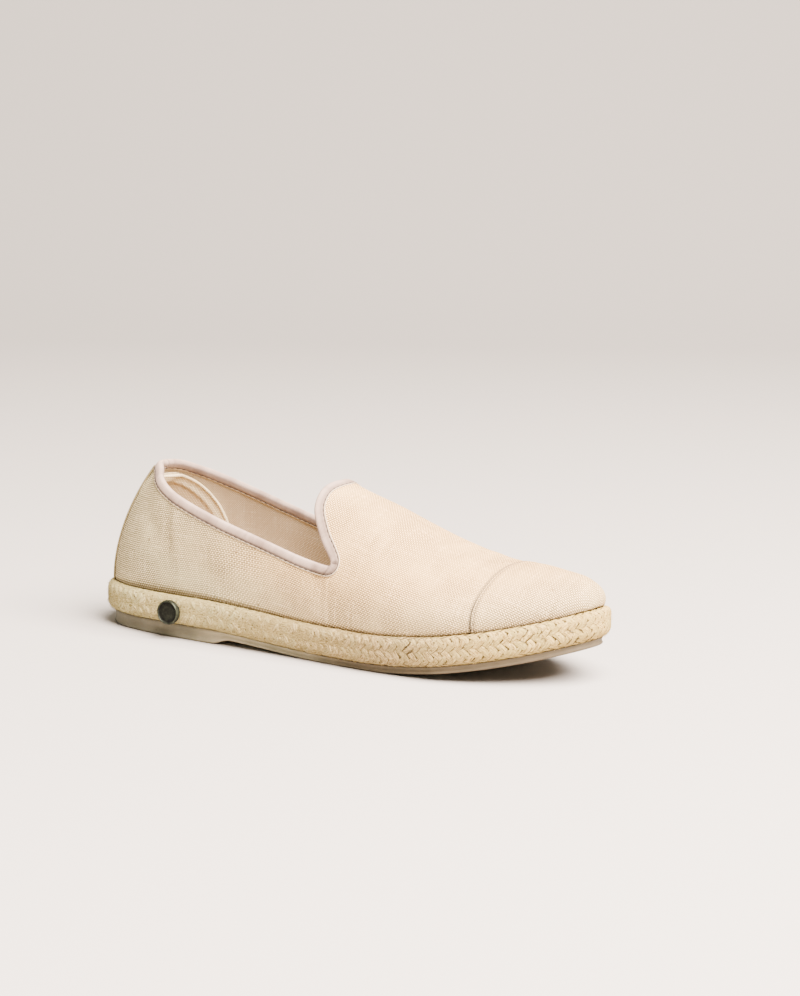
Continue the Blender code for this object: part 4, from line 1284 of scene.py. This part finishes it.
def ropeStrands():
    s = ropeSpec
    count = int(round(soleRun[-1] / s["pitch"]))
    pitch = soleRun[-1] / count
    t = np.linspace(-1, 1, s["rings"])[None, :, None]
    angle = (np.arange(s["sides"]) * 2 * math.pi / s["sides"])[None, None, :]
    points, grains, creviceShades, faces, start = [], [], [], [], 0
    for row in range(s["rows"]):
        runs = (np.arange(count) + 0.5 * (row % 2)) * pitch
        x = np.interp(np.mod(runs, soleRun[-1]), soleRun, soleX)
        loose = looseness(x)

        def spread(key):
            least, more = s[key]
            return dice.normal(0, 1, count) * (least + more * loose)

        runs = runs + spread("runSpread")
        lean = np.radians(s["slope"] + spread("leanSpread")) * (1 if row % 2 else -1)
        middle = s["firstRow"] + row * s["rowStep"] + spread("dropSpread")
        length = s["strandLength"] * (1 + dice.normal(0, s["lengthSpread"], count))
        width = s["strandWidth"] * (1 + dice.normal(0, s["widthSpread"], count))
        width = width * (1 - s["looseNarrow"] * loose)
        high = spread("liftSpread") - s["looseDrop"] * loose
        lean, middle, length, width, high, runs = (
            v[:, None, None] for v in (lean, middle, length, width, high, runs))
        body = np.clip(1 - np.abs(t) ** 5, 0, 1) ** 0.5 * (1 - 0.12 * t * t)
        flatCos, flatSin = (np.sign(way) * np.abs(way) ** s["squareness"]
                            for way in (np.cos(angle), np.sin(angle)))
        across = flatCos * width / 2 * body
        lift = flatSin * s["strandThickness"] / 2 * body
        bend = s["bend"] * length * (t * t - 0.3) * np.sign(lean)
        u = t * length / 2
        ds = u * np.cos(lean) - (across + bend) * np.sin(lean)
        dq = u * np.sin(lean) + (across + bend) * np.cos(lean)
        out = lift - s["bury"] + high + s["dive"] * (0.6 - t * t) + s["tilt"] * t
        drop = np.clip(middle + dq, s["margin"], sideRun[-1] - s["margin"])
        made = ropePoint(runs + ds, drop, out)
        points.append(made.reshape(-1, 3))
        around = np.broadcast_to(angle * width / 2, made.shape[:3])
        along = np.broadcast_to(u, made.shape[:3])
        ids = (np.arange(count) * 0.37 + row * 11.3)[:, None, None]
        ids = np.broadcast_to(ids, made.shape[:3])
        grains.append(np.stack([along, around, ids], -1).reshape(-1, 3))
        # painted shade on each strand's underside and where neighbouring strands meet
        sunk = np.clip(1.55 - (flatSin * 0.5 + 0.5) * body / 0.58, 0, 1) + 0 * across
        meeting = np.abs(across) / (pitch * math.sin(math.radians(s["slope"])) / 2)
        deepest = 0.86 - 0.44 * loose[:, None, None]
        sunk = np.maximum(sunk, deepest * ease((meeting - 0.66) / 0.30))
        creviceShades.append(np.broadcast_to(sunk, made.shape[:3]).reshape(-1))
        size = s["rings"] * s["sides"]
        faces.append(copiesOf(tubeFaces(s["rings"], s["sides"]), count, size) + start)
        start += count * size
    marks = {"grain": np.concatenate(grains), "creviceShade": np.concatenate(creviceShades)}
    return makePiece("jutePlaits", np.concatenate(points), faces, jute, marks, tightWeld)


ropeBody = ropeCore()
plaits = ropeStrands()
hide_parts("jute_midsole")


hairSpec = {
    "count": 3200, "radius": 0.050 * mm, "taper": 0.75, "lowShare": 0.35, "curl": 0.9,
    "reach": (1.2 * mm, 4.2 * mm), "stand": (0.15 * mm, 1.0 * mm), "low": (2.0 * mm, 5.0 * mm),
    "top": 1.5 * mm, "foot": 1.0 * mm, "margin": 0.3 * mm, "bury": 0.25 * mm,
    "rings": 6, "angles": (0, 2.094, 4.189), "arch": 2.4, "aside": (0.3, 0.2, 0.93),
    "grain": 3 * mm,
}


def juteHairs():
    s = hairSpec
    count, ringCount, sides = s["count"], s["rings"], len(s["angles"])
    size = ringCount * sides
    runs = dice.uniform(0, soleRun[-1], count)
    drops = dice.uniform(s["top"], sideRun[-1] - s["foot"], count)
    low = dice.random(count) < s["lowShare"]
    drops = np.where(low, sideRun[-1] - dice.uniform(*s["low"], count), drops)
    heading = dice.uniform(0, 2 * math.pi, count)
    reach = dice.uniform(*s["reach"], count)
    stand = dice.uniform(*s["stand"], count)
    curl = dice.normal(0, s["curl"], count)
    t = np.linspace(0, 1, ringCount)[None, :]
    turn = heading[:, None] + curl[:, None] * t
    ds, dq = (np.cumsum(way, 1) * reach[:, None] / ringCount
              for way in (np.cos(turn), np.sin(turn)))
    out = stand[:, None] * np.sin(t * s["arch"]) - s["bury"]
    drops = np.clip(drops[:, None] + dq, s["margin"], sideRun[-1] - s["margin"])
    spine = ropePoint(runs[:, None] + ds, drops, out)
    ahead = unit(np.gradient(spine, axis=1))
    side = unit(np.cross(ahead, np.array(s["aside"])))
    other = np.cross(ahead, side)
    radius = s["radius"] * (1 - s["taper"] * t[..., None])
    rings = [spine + radius * (side * math.cos(a) + other * math.sin(a))
             for a in s["angles"]]
    points = np.stack(rings, 2)
    ends = [[0, 1, 2], [size - 1, size - 2, size - 3]]
    faces = [copiesOf(block, count, size) for block in (tubeFaces(ringCount, sides), ends)]
    grain = stacked(t[..., None] * s["grain"], 0.0, heading[:, None, None])
    grain = np.broadcast_to(grain, points.shape)
    return makePiece("juteHairs", points.reshape(-1, 3), faces, jute,
                     {"grain": grain.reshape(-1, 3), "creviceShade": np.zeros(count * size)})


hairs = juteHairs()
print("stage: rope sole made")


# Rubber outsole: low heel block, breast and thin forepart, slightly hollow at its side

rubberSpec = {
    "stations": 180, "hollow": 0.5 * mm, "plate": 3.0 * mm, "bevelInset": 0.3 * mm,
    "bevelRise": 0.25 * mm, "topGap": 0.05 * mm,
}


def rubberOutsole():
    fine = np.linspace(0, math.pi, rubberSpec["stations"])
    inset, bevel = shoe["rubberInset"], shoe["rubberBevel"]
    # inset of each ring, height over the underside, and share of the wall above the bevel
    rings = [(inset + rubberSpec["plate"], 0.0, 0.0), (inset + bevel, 0.0, 0.0),
             (inset + rubberSpec["bevelInset"], rubberSpec["bevelRise"], 0.0),
             (inset, bevel, 0.0)]
    rings += [(inset + rubberSpec["hollow"] * math.sin(math.pi * share), bevel, share)
              for share in (0.25, 0.5, 0.75)]
    rings.append((inset, bevel, 1.0))

    def ringLine(side, reach, rise, share):
        x, y = planPoint(side, fine, reach)
        bottom, top = rubberBottom(x), ropeBottom(x) - rubberSpec["topGap"]
        return np.stack([x, y, bottom + rise + (top - bottom - bevel) * share], -1)

    points, faces = ringStack([lambda side, ring=ring: ringLine(side, *ring) for ring in rings])
    return makePiece("rubberOutsole", points, faces, rubber, {}, tightWeld)


outsole = rubberOutsole()
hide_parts("outsole")
print("stage: outsole made")


# Inside: the sock on the sole and the heel's piped patch

insoleSpec = {
    "stations": 120, "inset": 6.2,
    # further inset and height, in mm, from its foot over its rounded edge
    "profile": [(0.0, 0.3), (0.0, 2.2), (0.4, 2.8), (1.2, 3.1), (6.0, 3.1)],
}


def insolePad():
    fine = np.linspace(0, math.pi, insoleSpec["stations"])

    def ringLine(side, more, height):
        x, y = planPoint(side, fine, (insoleSpec["inset"] + more) * mm)
        return np.stack([x, y, ropeTop(x) + shoe["gap"] + height * mm], -1)

    points, faces = ringStack([lambda side, ring=ring: ringLine(side, *ring)
                               for ring in insoleSpec["profile"]])
    marks = {"cloth": points * (1, 1, 0)}
    return makePiece("insolePad", points, faces, insoleCanvas, marks, tightWeld)


insole = insolePad()
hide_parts("insole")

counterSpec = {
    "rows": 40, "columns": 44, "thickness": 0.9 * mm, "play": 0.4 * mm, "foot": 5.0 * mm,
    "piping": 0.70 * mm, "seam": 2.9 * mm, "second": 4.8 * mm, "thinEdge": 0.35,
    "lineWidth": 0.5 * mm, "fade": 0.9 * mm, "dent": 0.22 * mm, "ridge": 0.30 * mm,
    "fall": 0.35 * mm,
    "stitch": {"pitch": 2.3 * mm, "length": 1.6 * mm, "width": 0.34 * mm, "rise": 0.00004},
}


def counterGrid(side):
    s = counterSpec
    heights = np.linspace(s["foot"], counterRows[-1][0] * shoe["heelRise"], s["rows"])
    reach = turnAt(counterReach(heights))
    turns = np.linspace(0, 1, s["columns"])[:, None] * reach
    climbs = np.stack([climbFor(side, turns[:, j], np.full(s["columns"], height))
                       for j, height in enumerate(heights)], 1)
    return turns, climbs


def counterSheets():
    s = counterSpec
    sheets = []
    for side in (outer, inner):
        turns, climbs = counterGrid(side)
        outside = -shoe["wall"] - s["play"]
        face = skinPoint(side, turns, climbs, np.full(turns.shape, outside), 0.0)
        # distance from the front and top edge, for the rounded edge and the two ridges
        edge = np.concatenate([face[-1, :], face[::-1, -1][1:]])
        flat = face.reshape(-1, 3)
        near = np.sqrt(((flat[:, None, :] - edge[None, ::2]) ** 2).sum(2)).min(1)
        near = near.reshape(turns.shape)
        thin, line, fade = s["thinEdge"], s["lineWidth"], s["fade"]
        thick = s["thickness"] * (thin + (1 - thin) * ease(near / fade))
        thick = thick - s["dent"] * hump(near - s["seam"], line)
        thick = thick + s["ridge"] * hump(near - s["second"], line)
        thick = thick - s["fall"] * ease((near - s["second"] - line) / fade)
        inside = skinPoint(side, turns, climbs, outside - thick, 0.0)
        # painted shade along the steps at the patch's ridges, and a darker inner part beyond the
        # second ridge, partly the patch's own tone and partly painted shade
        creaseShade = 0.7 * hump(near - s["second"] - 0.9 * mm, 0.7 * mm)
        creaseShade = creaseShade + 0.5 * hump(near - 1.1 * mm, 0.5 * mm)
        creaseShade = creaseShade + 0.5 * ease((near - s["second"] - 0.6 * mm) / (1.0 * mm))
        sheet = (face, inside, clothLie(side, turns, climbs), np.clip(creaseShade, 0, 1))
        sheets.append(turned(sheet, side))
    return sheets


counter = shellPiece("counterPatch", counterSheets(), counterCanvas)
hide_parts("heel_counter")


def tube(name, spine, radius, finish, sides=10):
    # Even round cord along a line on the shoe, with closed ends
    ahead = unit(np.gradient(spine, axis=0))
    side = unit(np.cross(ahead, np.array([0.0, 0.0, 1.0])))
    other = np.cross(ahead, side)
    angles = np.arange(sides) * 2 * math.pi / sides
    ring = side[:, None] * np.cos(angles)[:, None] + other[:, None] * np.sin(angles)[:, None]
    points = spine[:, None] + ring * radius
    count = len(spine)
    ends = [[tuple(range(sides))], [tuple(range(count * sides - 1, (count - 1) * sides - 1, -1))]]
    run = lineLengths(spine)
    lie = stacked(run[:, None], angles[None] * radius, 0.0)
    return makePiece(name, points.reshape(-1, 3), [tubeFaces(count, sides), *ends], finish,
                     {"cloth": lie.reshape(-1, 3)})


def counterEdgeLine(out):
    # A line that follows the patch's front and top edge from one side to the other
    lines = []
    for side in (outer, inner):
        turns, climbs = counterGrid(side)
        line = skinPoint(side, turns[-1], climbs[-1], np.full(len(turns[-1]), out), 0.0)
        lines.append(line if side == outer else line[::-1])
    return np.concatenate([lines[0], lines[1][1:]])


pipeLine = counterEdgeLine(-shoe["wall"] - 1.15 * mm)
counterPiping = tube("counterPiping", pipeLine, counterSpec["piping"], counterCanvas)


# Twill stay up the back seam

staySpec = {
    "width": 14.0 * mm, "flare": 19.0 * mm, "thickness": 1.0 * mm, "below": 4.2 * mm, "rows": 60,
    "columns": 16, "flareCurve": 1.6, "thinEdge": 0.65, "faceGap": 0.2 * mm, "backGap": 0.1 * mm,
}


def heelAside(side, turns, climbs):
    # Level direction round the heel from its middle, on the outer or inner side
    along = unit(lastFrame(side, turns, climbs)[0])
    return along * np.sign(along[..., 1:2])


def stayStrip():
    s = staySpec
    sheets = []
    for side in (outer, inner):
        top = climbFor(side, 0.0, collarHeight(0.0) - s["below"])[0]
        climbs = np.linspace(0.004, top, s["rows"])
        faces, backs, lies = [], [], []
        for share in np.linspace(0, 1, s["columns"]):
            reach = s["width"] / 2 + s["flare"] / 2 * (1 - (climbs / top) ** s["flareCurve"])
            turns = np.zeros(s["rows"])
            for _ in range(3):
                step = side * reach[:, None] * share / 3 * heelAside(side, turns, climbs)
                turns = slide(side, turns, climbs, step)[0]
            lift = s["thickness"] * (1 - s["thinEdge"] * share ** 8)
            for sheet, out in ((faces, lift + s["faceGap"]), (backs, s["backGap"])):
                sheet.append(skinPoint(side, turns, climbs, np.full(s["rows"], out), 0.0))
            lies.append(np.stack([np.full(s["rows"], share * side * s["width"] / 2),
                                  climbs * 0.08], -1))
        sheet = (np.stack(faces), np.stack(backs), np.stack(lies), 0.0)
        sheets.append(turned(sheet, side))
    return shellPiece("heelStayTape", sheets, twill)


stay = stayStrip()
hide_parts("heel_stay")


# Stitches through the quarter that hold the heel patch: from the back, height

quarterStitchRows = [
    (0.0463, 0.037), (0.0485, 0.033), (0.0500, 0.029), (0.0510, 0.024), (0.0512, 0.018),
]
quarterStitchLook = {"pitch": 2.0 * mm, "length": 0.95 * mm, "width": 0.4 * mm, "rise": 0.0}


def quarterStitches():
    rows = np.array(quarterStitchRows)
    heights = np.linspace(rows[-1, 1], rows[0, 1], 30)
    places = np.interp(heights, rows[::-1, 1], rows[::-1, 0])
    made = []
    for side, name in ((outer, "quarterStitchesOuter"), (inner, "quarterStitchesInner")):
        turns, climbs = [], []
        for place, height in zip(places, heights):
            turn = turnAt(place / shoe["length"])
            for _ in range(5):
                climb = climbFor(side, turn, height)[0]
                x = lastPoint(side, turn, climb)[0]
                stride = 0.5 * shoe["length"] * max(math.sin(turn), 0.3)
                turn = turn + (place - fromBack(x)) / stride
            turns.append(turn)
            climbs.append(climb)
        line, normal = surfaceLine(side, np.array(turns), np.array(climbs), np.zeros(len(turns)))
        made.append(stitchRow(name, line, normal, quarterStitchLook, seamThread))
    return made


for piece in quarterStitches():
    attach(piece, "root")
print("stage: inside and heel made")


# Stud: turned disc with a rounded rim and a sunk plain face

studSpec = {
    "along": 0.0558, "level": 0.48, "standOff": 1.1 * mm, "turn": 7.0, "sides": 96,
    # radius and height in mm, and how dull and dark the metal is there
    "profile": [
        (0.0, 1.98, 0.9), (1.6, 1.94, 0.85), (3.0, 1.90, 0.9), (4.20, 1.88, 1.0),
        (4.55, 1.94, 1.0), (4.70, 2.14, 1.0), (4.80, 2.44, 0.6), (4.92, 2.66, 0.1),
        (5.08, 2.76, 0.0), (5.26, 2.70, 0.0), (5.44, 2.52, 0.1), (5.56, 2.25, 0.25),
        (5.60, 1.9, 0.4), (5.60, 0.6, 0.6), (5.5, 0.1, 0.8), (4.8, 0.0, 0.8), (0.0, 0.0, 0.8),
    ],
}


def turnStud():
    s = studSpec
    angles = np.arange(s["sides"]) * 2 * math.pi / s["sides"]
    radius, height, recess = np.array(s["profile"]).T
    radius, height = radius * mm, height * mm
    across, ahead = (radius * way[:, None] for way in (np.cos(angles), np.sin(angles)))
    points = stacked(across, ahead, height)
    faces = [gridFaces(s["sides"], len(radius), closed=True)]
    turn = turnAt(s["along"] / shoe["length"])
    nearX, nearY = planPoint(outer, turn, 0.0)
    seatX, seatY = planPoint(outer, turn, -s["standOff"])
    outward = Vector((float(seatX - nearX), float(seatY - nearY), 0.0))
    seatZ = ropeBottom(seatX) + shoe["ropeThickness"] * s["level"]
    seat = Vector((float(seatX), float(seatY), float(seatZ)))
    outward.rotate(Matrix.Rotation(math.radians(s["turn"]), 3, "Z"))
    place = Matrix.Translation(seat) @ outward.to_track_quat("Z", "Y").to_matrix().to_4x4()
    flat = points.reshape(-1, 3)
    world = np.array([place @ Vector(p) for p in flat])
    marks = {"recess": np.tile(recess, s["sides"])}
    return makePiece("studDisc", world, faces, brass, marks, tightWeld)


stud = turnStud()
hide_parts("side_stud")

for piece in (canvasUpper, liningCloth, toeCap, capStitches, binding, tapeStitches,
              tapeStitchesInside, ropeBody, plaits, hairs, outsole, insole, counter,
              counterPiping, stay, stud):
    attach(piece, "root")
print("stage: pieces ride on the shoe")


# Floor, light and camera

stageSpec = {
    "floor": sRgb(174, 168, 162), "back": sRgb(169, 163, 158), "middle": (0.1, 0.0),
    "reach": 3.2, "flat": 1.2, "curve": 0.9, "height": 3.2, "bend": 14,
    "room": sRgb(232, 234, 214), "roomLight": 0.62,
}
cameraSpec = {
    "azimuth": 32.6, "elevation": 9.24, "roll": -0.74, "distance": 1.470, "lens": 146.72,
    "aim": (0.095, 0.0, 0.0), "right": 0.02146, "up": 0.06754,
}


def paleFloor():
    # One sheet that runs from the front floor up into a soft curve far behind
    made = Finish("pale floor", **{"Specular IOR Level": 0.2})
    point = made.point()
    height = made.split(point)[2]
    grain = made.noise(point, 3.0, 2)
    # painted shade: the backdrop a little darker going up than the floor
    colour = made.blend(height.between(0.0, 1.4), stageSpec["floor"], stageSpec["back"])
    colour = made.blend(grain.between(0.3, 0.8) * 0.08, colour, stageSpec["back"])
    finish = made.finish(Base_Color=colour, Roughness=0.85 + grain * 0.05)
    azimuth = math.radians(cameraSpec["azimuth"])
    away = np.array([-math.sin(azimuth), math.cos(azimuth)])
    aside = np.array([math.cos(azimuth), math.sin(azimuth)])
    reach, flat, curve = stageSpec["reach"], stageSpec["flat"], stageSpec["curve"]
    profile = [(-reach, 0.0), (0.0, 0.0), (flat, 0.0)]
    for angle in np.linspace(0, 90, stageSpec["bend"])[1:]:
        a = math.radians(angle)
        profile.append((flat + curve * math.sin(a), curve * (1 - math.cos(a))))
    profile.append((flat + curve, stageSpec["height"]))
    points = []
    for ahead, height in profile:
        for across in (-reach, reach):
            place = np.array(stageSpec["middle"]) + away * ahead + aside * across
            points.append((place[0], place[1], height))
    faces = [gridFaces(len(profile), 2)]
    return makePiece("paleFloor", points, faces, finish)


floor = paleFloor()


def areaLight(name, place, target, size, power, colour):
    lamp = bpy.data.lights.new(name, "AREA")
    lamp.shape = "RECTANGLE"
    lamp.size, lamp.size_y = size
    lamp.energy = power
    lamp.color = colour
    holder = bpy.data.objects.new(name, lamp)
    bpy.context.scene.collection.objects.link(holder)
    holder.location = place
    direction = Vector(target) - Vector(place)
    holder.rotation_euler = direction.to_track_quat("-Z", "Y").to_euler()
    return holder


lightSpec = {
    "place": (1.00, -0.22, 1.36), "target": (0.09, 0, 0.03), "size": (1.4, 1.4),
    "power": 420.0, "colour": (1.0, 0.89, 0.82),
}
areaLight("keyLight", **lightSpec)

world = bpy.data.worlds.new("soft room")
world.use_nodes = True
room = world.node_tree.nodes["Background"].inputs
room[0].default_value = (*stageSpec["room"], 1.0)
room[1].default_value = stageSpec["roomLight"]
bpy.context.scene.world = world


def placeCamera():
    s = cameraSpec
    a, e, r = (math.radians(s[key]) for key in ("azimuth", "elevation", "roll"))
    right = Vector((math.cos(a), math.sin(a), 0.0))
    back = Vector((math.sin(a) * math.cos(e), -math.cos(a) * math.cos(e), math.sin(e)))
    up = back.cross(right)
    place = Vector(s["aim"]) + right * s["right"] + up * s["up"] + back * s["distance"]
    rolledRight = right * math.cos(r) - up * math.sin(r)
    rolledUp = right * math.sin(r) + up * math.cos(r)
    lens = bpy.data.cameras.new("photoCamera")
    lens.sensor_fit = "HORIZONTAL"
    lens.sensor_width = 36.0
    lens.lens = s["lens"]
    camera = bpy.data.objects.new("photoCamera", lens)
    bpy.context.scene.collection.objects.link(camera)
    turned = Matrix((rolledRight, rolledUp, back)).transposed().to_4x4()
    camera.matrix_world = Matrix.Translation(place) @ turned
    bpy.context.scene.camera = camera


placeCamera()
print("stage: floor, light and camera set")
